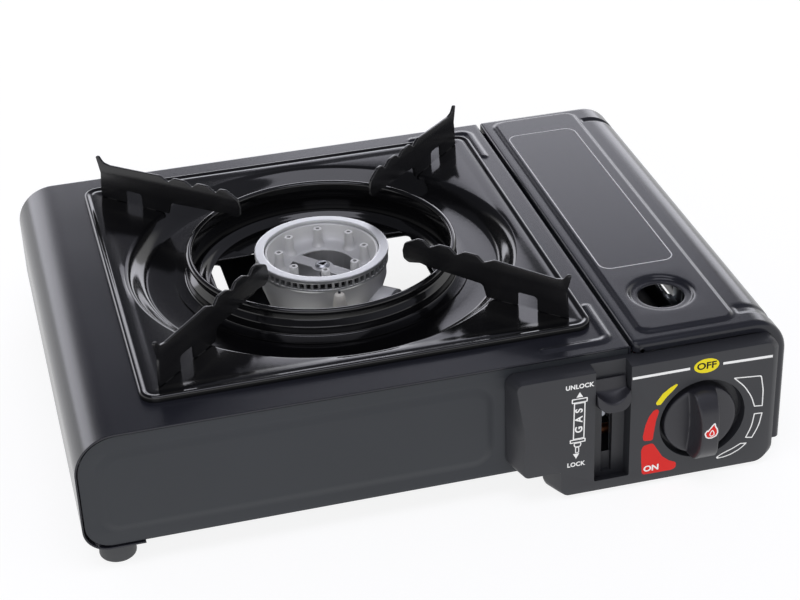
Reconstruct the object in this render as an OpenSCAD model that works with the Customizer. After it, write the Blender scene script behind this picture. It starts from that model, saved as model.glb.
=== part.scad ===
// Portable butane cassette stove. Millimetres, +X right, +Y back, +Z up.
// The origin is on the table, under the middle of the bounding box.

/* [Body] */
// Width over the shell and the cartridge lid
body_w = 340; // [334:1:352]
// Depth from the front panel to the back edge
body_d = 250; // [246:1:264]
// Height of the top plate above the table
top_z = 73.5; // [73:0.5:80]
// Height of the shell's bottom edge above the table
shell_z = 12; // [9:0.5:13]
// Thickness of all pressed steel sheet
sheet = 0.8; // [0.6:0.1:1]
// Radius of the left shoulder
shoulder_r = 20; // [14:1:26]
// Radius of the lower left corner
heel_r = 12; // [9:1:16]
// Width of the lip that the shell turns under the body
lip_w = 26; // [23:1:34]
// Depth of the flanges that stiffen sheet edges
flange = 5; // [3:0.5:6]
// Running gap between pressed pieces
fit_gap = 0.15; // [0.1:0.05:0.25]
// How far the front panel sits behind the shell's front edge
front_recess = 0.6; // [0.4:0.1:1]
// How far the rear panel sits inside the shell's back edge
rear_recess = 1.8; // [1.6:0.1:2.4]
// Height of the panels' bottom edge above the shell's bottom edge
panel_lift = 1.7; // [1.6:0.1:3]

/* [Top plate beads] */
// Width of the raised corner beads
bead_w = 4.5; // [3:0.5:6]
// Height of the raised corner beads
bead_h = 0.8; // [0.5:0.1:1.2]
// Length of each leg of a corner bead
bead_len = 32; // [20:1:36]
// Distance of a bead's centre line from the plate's edges
bead_inset = 8; // [6:0.5:10]

/* [Cartridge bay] */
// Width of the cartridge lid
lid_w = 78; // [77:0.5:84]
// Gap between the lid and the shell
seam_gap = 1; // [0.6:0.1:1.5]
// How far the lid stands above the top plate
lid_rise = 1.5; // [1:0.1:2.5]
// Radius of the lid's right shoulder
lid_r = 18; // [12:1:22]
// Height of the lid's lower edge above the table
lid_foot_z = 7; // [6.5:0.25:7.5]
// Height of the lid's embossed field
emboss_h = 1.2; // [0.8:0.1:1.8]
// Distance of the embossed field from the lid's edges
emboss_inset = 5; // [4:0.5:8]
// Corner radius of the embossed field
emboss_r = 6; // [4:0.5:10]
// Radius of the sight hole
sight_r = 11.3; // [9:0.1:12]
// Radius of the dimple around the sight hole
dimple_r = 15.5; // [14:0.1:17]
// Depth of the dimple
dimple_depth = 2; // [1.5:0.1:2.2]
// Distance of the sight hole from the front panel
sight_back = 38; // [32:1:60]
// Distance of the sight hole from the lid's left edge
sight_in = 28.6; // [26:0.5:32]
// Height of the bay floor's underside above the table
bay_z = 2.6; // [2.4:0.1:3]
// Radius of a standard gas cartridge
can_r = 34; // [33.5:0.1:34.2]
// Height of the upturned lips of the bay floor
bay_lip = 11; // [9:0.5:13]
// Distance of the bay floor's right lip from the lid's outer face
bay_margin = 9.2; // [9:0.1:10.5]

/* [Lid hinge] */
// Radius of the hinge pin
hinge_pin_r = 1.5; // [1.2:0.1:1.7]
// Radius of the hinge knuckles
knuckle_r = 2.9; // [2.6:0.1:3.1]
// Height of the hinge axis above the table
hinge_z = 8.2; // [7.8:0.1:8.8]
// Distance of the hinge axis from the lid's outer face
hinge_in = 4.5; // [4.3:0.1:4.8]
// Length of one knuckle
knuckle_len = 12; // [8:1:18]
// Running clearance in the knuckles
pin_clear = 0.05; // [0.03:0.01:0.08]
// Height of the hinge leaves on the lid
leaf_h = 14; // [10:1:20]
// Distance of the outer hinges from the bay's middle
hinge_spread = 95; // [80:1:100]

/* [Vents] */
// Width of a vent slot
vent_w = 4; // [3:0.5:5]
// Height of a vent slot
vent_h = 18; // [12:1:24]
// Spacing of the vent slots
vent_pitch = 11; // [9:0.5:14]

/* [Feet] */
// Radius of the feet
foot_r = 8.7; // [7:0.1:10]
// Rounding at the bottom of the feet
foot_round = 2; // [1:0.1:2.3]
// Distance of the left feet from the side
foot_in = 15.6; // [15:0.2:20]
// Distance of the feet from the front and back edges
foot_inset = 13; // [12:1:24]
// Distance of the right feet from the right side
pad_in = 20; // [18:1:30]
// Radius of the foot screws
screw_r = 1.5; // [1.2:0.1:1.8]
// Radius of the screw heads
head_r = 3; // [2.6:0.1:3.4]
// Height of the screw heads
head_h = 1.4; // [1:0.1:1.8]

/* [Drip tray] */
// Side of the square drip tray
tray_w = 215; // [212:1:222]
// Corner radius of the tray
tray_r = 8; // [5:0.5:14]
// Height of the tray's rim above the top plate
tray_rim_h = 3.1; // [2.8:0.1:4]
// Width of the tray's rim
tray_rim_w = 4.5; // [3:0.5:7]
// Depth of the flat field below the rim's crest
tray_step = 0.8; // [0.6:0.1:1]
// Radius of the round dish at its top edge
dish_r = 97; // [94:0.5:99]
// Width of the dish's sloping wall
dish_wall = 9; // [7:0.5:12]
// Depth of the dish below the flat field
dish_depth = 7.8; // [6:0.1:10]
// Radius where the dish steps down around the burner
well_r = 62; // [59:0.5:63]
// Depth of that step
well_depth = 3.7; // [2.5:0.1:5]
// Width of the burner opening, left to right
burner_open_w = 108; // [96:1:112]
// Depth of the burner opening, front to back
burner_open_d = 60; // [48:1:70]
// Corner radius of the burner opening
burner_open_r = 7; // [4:0.5:12]
// Radius of the round part of the burner opening
burner_open_round = 44; // [43.5:0.5:46]
// Distance from the tray's right edge to the shell's right edge
tray_right = 11.1; // [9:0.1:14]
// Distance from the front panel to the tray's front edge
tray_front = 19.5; // [15:0.5:24]

/* [Wind ring] */
// Radius of the ring's wall
ring_r = 65.1; // [64.5:0.1:66]
// Height of the ring's rolled rim above the top plate
ring_top = 9.2; // [8.4:0.1:10]
// Radius of the rolled rim
ring_bead_r = 1.7; // [1.2:0.1:2]
// Width of the step halfway down the wall
ring_step = 3; // [2:0.1:4]
// Width of the ring's foot flange
ring_foot_w = 7; // [5:0.5:10]

/* [Pan supports] */
// Thickness of a pan support
arm_t = 1.5; // [1.2:0.1:2]
// Radius to the tip of the horn
horn_s = 138; // [134:0.5:141]
// Height of the horn's tip above the top plate
horn_h = 26; // [23:0.5:28]
// Height of the pan rest above the top plate
rest_h = 23; // [21:0.5:24]
// Depth of the notches along the top edge
notch_d = 2.6; // [1.5:0.1:3.2]
// Radius to the inner tip
tip_s = 48; // [46:0.5:52]
// Width of an outer foot
foot_out_w = 15; // [12:0.5:17]
// Width of the window between the two feet
window_w = 12; // [9:0.5:14]
// Height of the window above the tray
window_h = 10; // [7:0.5:12]
// Angle that the inner tip is bent sideways
tip_bend = 28; // [15:1:35]
// Width of the tangs that pass through the tray
tang_w = 6; // [4:0.5:8]

/* [Burner] */
// Outer radius of the burner's port ring
port_ring_r = 33.8; // [31:0.1:34.5]
// Inner radius of the port ring
port_ring_in = 29; // [27:0.1:29.5]
// Height of the port ring's top above the top plate
burner_top = 5.5; // [4.5:0.1:6]
// Height of the port ring
port_ring_h = 7; // [6:0.1:8]
// Number of ports
port_count = 60; // [40:2:72]
// Width of a port
port_w = 1.7; // [1.2:0.1:2]
// Height of a port
port_h = 3.2; // [2.4:0.1:3.6]
// Wall of the cast cup
cup_wall = 2.2; // [1.8:0.1:2.6]
// Radius of the cup's floor
cup_floor_r = 17; // [15:0.5:20]
// Radius of the circle of posts
post_circle = 21.8; // [20:0.1:23]
// Radius of a post
post_r = 2.1; // [1.8:0.1:2.4]
// Radius of the hole in a post
post_hole_r = 0.9; // [0.7:0.1:1.1]
// Height of the posts
post_h = 5.6; // [4:0.1:6]
// Angle of the mixing tube, measured from the right
mix_angle = -40; // [-44:1:-36]
// Radius of the mixing tube
mix_r = 9; // [8:0.1:9.6]
// Length of the air collar beyond the mixing tube's end
collar_len = 12; // [10:0.5:14]
// Wall of the air collar around the mixing tube
collar_wall = 2.2; // [1.8:0.1:2.6]
// Distance from the burner's centre to the mixing tube's end
mix_len = 74; // [70:1:78]
// Radius of the jet's body
jet_r = 4.5; // [4:0.1:5]
// Radius of the gas pipe
pipe_r = 2.5; // [2:0.1:2.8]
// Radius of the gas pipe's bends
pipe_bend = 8; // [7:0.5:9]
// Radius of the electrode's ceramic
ceramic_r = 2.7; // [2.3:0.1:3]
// Distance from the burner's centre to the electrode
spark_r = 38.6; // [38:0.1:39.5]

/* [Control panel] */
// How far the control panel stands out from the front panel's plane
panel_reach = 11; // [10:0.5:13]
// How far the knob stands out from the control panel
knob_reach = 13; // [11:0.5:15]
// Wall of the moulded housing
moulding = 2; // [1.6:0.1:2.2]
// Distance of the housing's right edge from the body's right side
panel_right_in = 8.5; // [8:0.5:10]
// Width of the housing
panel_w = 129; // [126:1:132]
// Height of the housing's top edge above the table
panel_top = 69.2; // [68.5:0.1:69.5]
// Height of the housing's bottom edge above the table
panel_bottom = 2.1; // [1.8:0.1:2.4]
// Height of the step in the housing's lower edge
panel_step = 16; // [14:0.5:18]
// Width of the raised part beside the step
panel_step_w = 22; // [18:0.5:24]
// Width of the bevels at the housing's sides
panel_bevel = 4.5; // [3:0.5:6]
// Corner radius of the housing
panel_corner = 7.5; // [7:0.5:9]
// Width of the lever channel
channel_w = 17.5; // [16.5:0.5:18]
// Distance of the channel's right wall from the bay's partition
channel_in = 2; // [1.8:0.1:3]
// Depth of the channel
channel_depth = 8.2; // [8:0.1:8.5]
// Height of the channel's lower end above the table
channel_bottom = 10.4; // [9:0.2:12]
// Width of the slot in the channel's floor
slot_w = 5; // [4.6:0.1:6]
// Knob axis, distance from the lid's left edge
knob_x_in = 31.3; // [30:0.1:33]
// Knob axis, height above the table
knob_z = 32.4; // [31:0.1:34]
// Radius of the recess around the knob
recess_r = 21.5; // [20.5:0.1:23]
// Radius of the knob
knob_r = 18.4; // [17:0.1:19.5]
// Width of the knob's grip bar
grip_w = 10; // [8:0.5:12]

/* [Valve and regulator] */
// Radius of the valve stem
stem_r = 4; // [3:0.1:4.5]
// Width of the valve block
valve_w = 31; // [28:0.5:33]
// Height of the valve block
valve_h = 29; // [26:0.5:31]
// Depth of the valve block
valve_d = 18; // [16:0.5:19]
// Radius of the regulator
regulator_r = 22.5; // [20:0.5:23.5]
// Depth of the regulator's body
regulator_d = 7; // [5:0.5:8]
// Depth of the diaphragm cover
cover_d = 4; // [3:0.5:5]
// Radius of the cartridge inlet's boss
inlet_r = 8; // [7:0.1:9]
// Length of the cartridge inlet's boss
inlet_len = 9; // [7:0.5:10]
// Bore radius of the cartridge inlet
inlet_bore = 3.6; // [3.3:0.1:4]

/* [Lock lever] */
// Length from the pivot to the middle of the thumb pad
lever_len = 46.8; // [44:0.2:48]
// Half of the lever's swing, in degrees
lever_half = 20; // [17:0.5:21]
// Thickness of the lever
lever_t = 3; // [2:0.1:3.4]
// Width of the lever's arm
lever_w = 7; // [6:0.5:8]
// Radius of the lever's pivot pin
pivot_r = 2; // [1.6:0.1:2.4]
// Height of the thumb pad
pad_h = 18; // [15:0.5:19]
// Thickness of the thumb pad
pad_t = 5; // [4:0.1:5.4]
// Distance from the pivot to the fork's peg
fork_len = 12; // [11:0.1:12.5]
// Radius of the pusher's peg
peg_r = 1.5; // [1.2:0.1:1.7]

/* [Cartridge pusher] */
// Width of the pusher's plate
pusher_w = 23; // [18:1:28]
// Height of the pusher's back plate
pusher_h = 52; // [40:1:56]
// Gap between the pusher's back plate and the rear panel
pusher_back = 5; // [4:0.5:8]

/* [Hidden] */
$fn = 96;
eps = 0.01;
half_w = body_w / 2;
reach = panel_reach + knob_reach;
y_front = -(body_d + reach) / 2 + reach;
y_back = y_front + body_d;
y_mid = (y_front + y_back) / 2;
lid_x = half_w - lid_w;
shell_x = lid_x - seam_gap;
part_x = shell_x - sheet - fit_gap - sheet;
lid_top = top_z + lid_rise;
panel_z = shell_z + panel_lift;
base_z = shell_z + sheet;
base_top = base_z + sheet;
face_front = y_front + front_recess;
face_back = y_back - rear_recess;
bay_top = bay_z + sheet;
bay_right = half_w - bay_margin;
hinge_x = half_w - hinge_in;
can_x = (part_x + sheet + half_w - sheet) / 2;
can_z = bay_top + sheet + can_r + 0.4;
tray_x = shell_x - tray_right - tray_w / 2;
tray_y = y_front + tray_front + tray_w / 2;
flat_z = top_z + tray_rim_h - tray_step;
dish_floor_r = dish_r - dish_wall;
dish_z = flat_z - dish_depth;
well_z = dish_z - well_depth;
rest_z = top_z + rest_h;
ring_z = top_z + ring_top;
horn_z = top_z + horn_h;
burner_z = top_z + burner_top;
port_z = burner_z - port_ring_h;
mix_z = well_z - sheet - collar_wall - mix_r - 1.3;
cup_z = mix_z - mix_r - 1.2;
plate_z = burner_z - 1.6 - post_h;
panel_x1 = half_w - panel_right_in;
panel_x0 = panel_x1 - panel_w;
face_y = y_front - panel_reach;
channel_x1 = part_x - channel_in + 0.4;
channel_x0 = channel_x1 - channel_w;
channel_y = face_y + channel_depth;
knob_x = lid_x + knob_x_in;
recess_y = face_y + 6;
lever_x = (channel_x0 + channel_x1) / 2;
pivot_y = face_y + 2 + lever_len * cos(lever_half);
pivot_z = 37;
peg_y = pivot_y + fork_len * sin(lever_half);
peg_z = pivot_z + fork_len - 0.5;
peg_travel = 2 * fork_len * sin(lever_half);
bracket_y = face_front + sheet + 0.2;
bracket_t = 1;
valve_y = bracket_y + bracket_t;
regulator_y = valve_y + valve_d;
cover_y = regulator_y + regulator_d;
inlet_y = cover_y + cover_d;
pipe_z = base_top + flange + pipe_r + 0.4;
nut_r = pipe_r + 2.6;
pipe_y = valve_y + valve_d / 2;
lead_z = 62;
lead_r = 1.2;
lead_y = valve_y + 14;
lead_route = 26;
piezo_z = pipe_z + nut_r + 1.2;
piezo_h = 18;
piezo_x = knob_x - valve_w / 2 - 6.8;
piezo_y = valve_y + 10;
foot_seat = 1.5;
pad_seat = 0.7;

// A box given by its lowest and highest corners
module block(low, high) { translate(low) cube(high - low); }
// Round bars along each axis
module rod_x(x0, x1, y, z, r) { translate([x0, y, z]) rotate([0, 90, 0]) cylinder(h = x1 - x0, r = r); }
module rod_y(y0, y1, x, z, r) { translate([x, y0, z]) rotate([-90, 0, 0]) cylinder(h = y1 - y0, r = r); }
module rod_z(z0, z1, x, y, r) { translate([x, y, z0]) cylinder(h = z1 - z0, r = r); }
// A flat outline in X and Z, drawn out along Y
module along_y(y0, y1) { translate([0, y1, 0]) rotate([90, 0, 0]) linear_extrude(y1 - y0) children(); }
// A flat outline in Y and Z, drawn out along X
module along_x(x0, x1) {
    translate([x0, 0, 0]) rotate([90, 0, 90]) linear_extrude(x1 - x0) children();
}

// Rectangle with four round corners
module round_rect(low, high, r) {
    translate([low[0] + r, low[1]]) square([high[0] - low[0] - 2 * r, high[1] - low[1]]);
    translate([low[0], low[1] + r]) square([high[0] - low[0], high[1] - low[1] - 2 * r]);
    for (x = [low[0] + r, high[0] - r], y = [low[1] + r, high[1] - r])
        translate([x, y]) circle(r);
}

// Rectangle whose left corners are round, top and bottom with their own radius
module left_round(x0, x1, z0, z1, r_top, r_low) {
    translate([x0 + r_top, z1 - r_top]) circle(r_top);
    translate([x0 + r_low, z0 + r_low]) circle(r_low);
    translate([x0, z0 + r_low]) square([r_top, z1 - r_top - z0 - r_low]);
    translate([x0 + r_low, z0]) square([x1 - x0 - r_low, z1 - r_top - z0]);
    translate([x0 + r_top, z0 + r_low]) square([x1 - x0 - r_top, z1 - z0 - r_low]);
}

// Outline of the body across its width, shrunk by a margin
module body_outline(margin, right) {
    left_round(-half_w + margin, right, shell_z + margin, top_z - margin,
        shoulder_r - margin, heel_r - margin);
}

// L-shaped bead with round ends; the corner is at [x, y] and the legs run by the given signs
module corner_bead(x, y, sx, sy) {
    translate([0, 0, top_z]) linear_extrude(bead_h) {
        for (p = [[0, 0], [sx * bead_len, 0], [0, sy * bead_len]])
            translate([x + p[0], y + p[1]]) circle(bead_w / 2);
        translate([min(x, x + sx * bead_len), y - bead_w / 2]) square([bead_len, bead_w]);
        translate([x - bead_w / 2, min(y, y + sy * bead_len)]) square([bead_w, bead_len]);
    }
}

// One wrapped sheet: top plate, rounded left shoulder, left side and bottom lip
module body_shell() {
    color("#3c3e42") {
        difference() {
            along_y(y_front, y_back) difference() {
                body_outline(0, shell_x);
                body_outline(sheet, shell_x - sheet);
                translate([-half_w + heel_r + lip_w, 0])
                    square([body_w, top_z - sheet - flange]);
            }
            for (y = [[y_front - 1, face_front + sheet + fit_gap], [face_back - sheet - fit_gap, y_back + 1]])
                block([shell_x - 2 * sheet, y[0], top_z - sheet - flange - 1], [shell_x + 1, y[1], top_z - sheet]);
            rod_z(top_z - flange, top_z + 1, tray_x, tray_y, dish_r + 2);
            for (y = [foot_front_y(), foot_rear_y()])
                rod_z(0, base_top, -half_w + foot_in, y, screw_r + 0.1);
        }
        corner_bead(shell_x - bead_inset, y_front + bead_inset, -1, 1);
        corner_bead(shell_x - bead_inset, y_back - bead_inset, -1, -1);
    }
}

// Outline of the front and rear panels; they reach down past the cartridge bay
module panel_outline(inset) {
    difference() {
        union() {
            left_round(-half_w + sheet + fit_gap + inset, shell_x - sheet - fit_gap,
                panel_z + inset, top_z - sheet - fit_gap - inset,
                shoulder_r - sheet - fit_gap - inset, heel_r - inset);
            translate([part_x - 2, bay_top + inset])
                square([bay_right - part_x + 2 - inset, lid_top - flange - 2 - bay_top - 2 * inset]);
        }
        translate([part_x, lid_top - flange - 2 - inset]) square([lid_w, lid_w]);
    }
}

// Panel behind the control housing, with openings for the stem, the lever and the pipework
module front_panel() {
    color("#34373b") difference() {
        union() {
            along_y(face_front, face_front + sheet) panel_outline(0);
            along_y(face_front - front_recess / 2, face_front) intersection() {
                panel_outline(bead_inset);
                translate([-half_w, 0]) square([panel_x0 + half_w - bead_inset, top_z]);
            }
        }
        rod_y(y_front - 1, y_front + 3, knob_x, knob_z, stem_r + 3);
        block([lever_x - slot_w / 2, y_front - 1, channel_bottom - 0.4],
            [lever_x + slot_w / 2, y_front + 3, channel_top() + 1]);
        for (p = panel_screw_places())
            rod_y(y_front - 1, y_front + 3, p[0], p[1], screw_r + 0.1);
    }
}
function channel_top() = panel_top - 11;
function panel_screw_places() = [for (x = [panel_x0 + 13, panel_x1 - 9], z = [24, panel_top - 9]) [x, z]];

// Rear panel with one row of upright vent slots in each half
module rear_panel() {
    color("#34373b") difference() {
        along_y(face_back - sheet, face_back) panel_outline(0);
        for (i = [-4:4], x = [tray_x + i * vent_pitch])
            along_y(y_back - 6, y_back) vent_slot(x, top_z - 18);
        for (i = [-2:2])
            along_y(y_back - 6, y_back) vent_slot(can_x + i * vent_pitch, can_z + 14);
    }
}
module vent_slot(x, z) {
    translate([x - vent_w / 2, z - vent_h / 2 + vent_w / 2]) square([vent_w, vent_h - vent_w]);
    for (s = [-1, 1])
        translate([x, z + s * (vent_h - vent_w) / 2]) circle(vent_w / 2);
}

// Base plate: a frame with air windows, open behind the burner, with a lip against the partition
module base_plate() {
    left = -half_w + heel_r + fit_gap;
    right = part_x - fit_gap;
    front = face_front + sheet + fit_gap;
    back = face_back - sheet - fit_gap;
    color("#2c2e31") difference() {
        union() {
            block([left, front, base_z], [right, back, base_top]);
            block([right - sheet, front, base_z], [right, back, base_top + flange]);
        }
        block([tray_x - 74, tray_y + 48, base_z - 1], [tray_x + 92, y_back + 1, base_top + 1]);
        for (x = [tray_x - 74, tray_x + 16])
            block([x, tray_y - 84, base_z - 1], [x + 58, tray_y - 22, base_top + 1]);
        for (y = [foot_front_y(), foot_rear_y()])
            rod_z(0, base_top + 1, -half_w + foot_in, y, screw_r + 0.1);
        for (s = [-1, 1])
            rod_z(0, base_top + 1, tray_x + s * bracket_foot(), tray_y, screw_r + 0.1);
    }
}
function foot_front_y() = y_front + foot_inset;
function foot_rear_y() = y_back - foot_inset;
function bracket_foot() = 56;

// Floor of the cartridge bay with its lips, hinge ears and the partition's seat
module bay_floor() {
    front = face_front + sheet + fit_gap;
    back = face_back - sheet - fit_gap;
    color("#2c2e31") difference() {
        union() {
            block([part_x, front, bay_z], [bay_right, back, bay_top]);
            block([bay_right - sheet, front, bay_z], [bay_right, back, bay_top + bay_lip]);
            for (y = hinge_places()) {
                rod_y(y, y + knuckle_len, hinge_x, hinge_z, knuckle_r);
                block([bay_right - sheet, y, hinge_z - 1.2],
                    [hinge_x - hinge_pin_r, y + knuckle_len, hinge_z + 1.2]);
            }
        }
        for (y = hinge_places())
            rod_y(y - 1, y + knuckle_len + 1, hinge_x, hinge_z, hinge_pin_r + pin_clear / 2);
        for (y = [foot_front_y(), foot_rear_y()])
            rod_z(0, bay_top + 1, half_w - pad_in, y, screw_r + 0.1);
        for (i = [-6:6])
            block([can_x - 24, y_mid + i * 16, bay_z - 1], [can_x - 15, y_mid + i * 16 + 5, bay_top + 1]);
    }
}
function hinge_places() = [y_mid - hinge_spread, y_mid - knuckle_len, y_mid + hinge_spread - 2 * knuckle_len];

// Upright heat shield between the burner and the cartridge
module partition() {
    front = face_front + sheet + fit_gap;
    back = face_back - sheet - fit_gap;
    color("#8d9094") difference() {
        block([part_x, front, bay_top], [part_x + sheet, back, top_z - sheet]);
        rod_x(part_x - 1, part_x + 2, pipe_y, pipe_z, pipe_r + 0.7);
        rod_x(part_x - 1, part_x + 2, lead_y, lead_z, lead_r + 0.6);
        block([part_x - 1, peg_y - peg_travel - peg_r - 0.9, peg_z - peg_r - 0.6],
            [part_x + 2, peg_y + peg_r + 0.9, peg_z + peg_r + 0.6]);
        for (i = [0:7])
            along_x(part_x - 1, part_x + 2) vent_slot(y_mid + (i - 1) * 14, 36);
        for (p = lever_bracket_screws())
            rod_x(part_x - 1, part_x + 2, p[0], p[1], screw_r + 0.1);
    }
}
function lever_bracket_screws() = [[pivot_y + 9, pivot_z - 5], [pivot_y + 9, pivot_z + 3]];

// Moulded rubber foot with a rounded rim and a deep screw hole
module foot(x, y, h) {
    color("#3b3c3e") translate([x, y, 0]) rotate_extrude() difference() {
        union() {
            translate([0, foot_round]) square([foot_r, h - foot_round]);
            square([foot_r - foot_round, foot_round]);
            translate([foot_r - foot_round, foot_round]) circle(foot_round);
        }
        translate([-foot_r, -1]) square([foot_r, h + 2]);
        translate([-1, -1]) square([1 + screw_r + 0.1, h + 2]);
        translate([-1, -1]) square([1 + head_r + 0.3, 1 + h - foot_seat]);
    }
}
// Short rubber pad under the cartridge bay
module pad(x, y) {
    color("#3b3c3e") difference() {
        rod_z(0, bay_z, x, y, foot_r - 2);
        rod_z(-1, bay_z + 1, x, y, screw_r + 0.1);
        rod_z(-1, bay_z - pad_seat, x, y, head_r + 0.3);
    }
}
module foot_front_left() { foot(-half_w + foot_in, foot_front_y(), shell_z); }
module foot_rear_left() { foot(-half_w + foot_in, foot_rear_y(), shell_z); }
module foot_front_right() { pad(half_w - pad_in, foot_front_y()); }
module foot_rear_right() { pad(half_w - pad_in, foot_rear_y()); }

// Pan-head screw along +Z; the head's underside is at the origin and the shank points up
module screw(len) {
    translate([0, 0, -head_h]) difference() {
        cylinder(h = head_h, r = head_r);
        translate([-head_r * 0.6, -0.4, -1]) cube([head_r * 1.2, 0.8, 1.5]);
        translate([-0.4, -head_r * 0.6, -1]) cube([0.8, head_r * 1.2, 1.5]);
    }
    cylinder(h = len, r = screw_r);
}
module foot_screws() {
    color("#9a9da0") for (y = [foot_front_y(), foot_rear_y()]) {
        translate([-half_w + foot_in, y, shell_z - foot_seat]) screw(foot_seat + 2 * sheet + 1.5);
        translate([half_w - pad_in, y, bay_z - pad_seat]) screw(pad_seat + sheet + 0.5);
    }
}

// Face outline of the control housing, shrunk by a margin
module housing_outline(m) {
    round_rect([panel_x0 + m, panel_bottom + panel_step + m], [panel_x1 - m, panel_top - m],
        panel_corner - m / 2);
    round_rect([panel_x0 + panel_step_w + m, panel_bottom + m], [panel_x1 - m, panel_top - m - 2],
        panel_corner - m / 2);
}
// The housing's block with bevelled left and right sides, from a given depth back
module housing_block(m, y0, y1) {
    intersection() {
        along_y(y0, y1) housing_outline(m);
        translate([0, 0, -1]) linear_extrude(top_z) polygon([
            [panel_x0 + m, y1 + 1], [panel_x0 + m, y_front + m], [panel_x0 + panel_bevel + m, face_y + m],
            [panel_x1 - panel_bevel / 2 - m, face_y + m], [panel_x1 - m, y_front + m], [panel_x1 - m, y1 + 1]]);
    }
}

// Moulded housing with the lever channel, the knob recess and screw bosses
module control_panel() {
    back = face_front - 0.05;
    color("#46474b") difference() {
        union() {
            difference() {
                housing_block(0, face_y, back);
                housing_block(moulding, face_y + moulding, back + 1);
            }
            intersection() {
                housing_block(0, face_y, back);
                union() {
                    block([channel_x0 - moulding, face_y, channel_bottom - moulding],
                        [channel_x1 + moulding, channel_y + moulding, panel_top]);
                    rod_y(face_y, recess_y + moulding, knob_x, knob_z, recess_r + moulding);
                }
            }
            for (p = panel_screw_places())
                rod_y(face_y + moulding, back, p[0], p[1], screw_r + moulding);
        }
        block([channel_x0, face_y - 1, channel_bottom], [channel_x1, channel_y, panel_top + 1]);
        block([lever_x - slot_w / 2, face_y, channel_bottom - 0.4],
            [lever_x + slot_w / 2, back + 1, channel_top() + 1]);
        rod_y(face_y - 1, recess_y, knob_x, knob_z, recess_r);
        rod_y(face_y - 1, back + 1, knob_x, knob_z, stem_r + 1.5);
        for (p = panel_screw_places())
            rod_y(face_y + moulding + 1, back + 1, p[0], p[1], screw_r + 0.03);
    }
}
module panel_screws() {
    seat = face_front + sheet;
    color("#9a9da0") for (p = panel_screw_places())
        translate([p[0], seat, p[1]]) rotate([90, 0, 0]) screw(seat - face_y - moulding - 2);
}

// Cross-section of the lid's space: flat top, rounded right shoulder, straight right side
module lid_shape(m, low) {
    x1 = half_w - m;
    z1 = lid_top - m;
    r = lid_r - m;
    translate([lid_x + m, low]) square([x1 - r - lid_x - m, z1 - low]);
    translate([lid_x + m, low]) square([x1 - lid_x - m, z1 - r - low]);
    translate([x1 - r, z1 - r]) circle(r);
}
// The lid's skin, or its end flange, as a band of a given width under that outline
module lid_band(width) {
    difference() {
        lid_shape(0, lid_foot_z);
        lid_shape(width, lid_foot_z - 1);
        translate([lid_x - 1, lid_foot_z - 1]) square([width + 1, lid_top - flange - lid_foot_z + 1]);
    }
}
module lid_field(m) {
    round_rect([lid_x + emboss_inset + m, y_front + emboss_inset + m],
        [half_w - lid_r - emboss_inset - 2 - m, y_back - emboss_inset - m], emboss_r - m);
}

// Cartridge lid: one sheet with an embossed field, a sight hole and turned-down edges
module cartridge_lid() {
    front = lid_front();
    sight = [lid_x + sight_in, y_front + sight_back];
    floor_z = lid_top + emboss_h - dimple_depth;
    color("#3c3e42") difference() {
        union() {
            along_y(front, y_back) lid_band(sheet);
            along_y(front, front + sheet) lid_band(flange);
            along_y(y_back - sheet, y_back) lid_band(flange);
            translate([0, 0, lid_top - sheet]) linear_extrude(emboss_h + sheet) lid_field(0);
            rod_z(floor_z - sheet, lid_top + emboss_h, sight[0], sight[1], dimple_r + sheet);
        }
        difference() {
            translate([0, 0, lid_top - sheet - 1]) linear_extrude(emboss_h + 1) lid_field(sheet);
            rod_z(floor_z - sheet, lid_top + 9, sight[0], sight[1], dimple_r + sheet);
        }
        rod_z(floor_z, lid_top + 9, sight[0], sight[1], dimple_r);
        rod_z(0, lid_top + 9, sight[0], sight[1], sight_r);
    }
}
function lid_front() = y_front - 0.4 - sheet;

// Leaves on the lid's side with their half of the hinge knuckles
module lid_hinge_leaves() {
    wall = half_w - sheet;
    color("#8d9094") for (y = hinge_places(), y0 = [y + knuckle_len + 0.4]) difference() {
        union() {
            rod_y(y0, y0 + knuckle_len, hinge_x, hinge_z, knuckle_r);
            block([hinge_x + hinge_pin_r, y0, hinge_z - 1.1], [wall, y0 + knuckle_len, hinge_z + 1.1]);
            block([wall - sheet, y0, hinge_z - 1.1], [wall, y0 + knuckle_len, hinge_z + leaf_h]);
        }
        rod_y(y0 - 1, y0 + knuckle_len + 1, hinge_x, hinge_z, hinge_pin_r + pin_clear);
    }
}
module lid_hinge_pin() {
    ends = hinge_places();
    color("#c4c6c8") rod_y(ends[0] - 2, ends[2] + 2 * knuckle_len + 2.4, hinge_x, hinge_z, hinge_pin_r);
}

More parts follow.
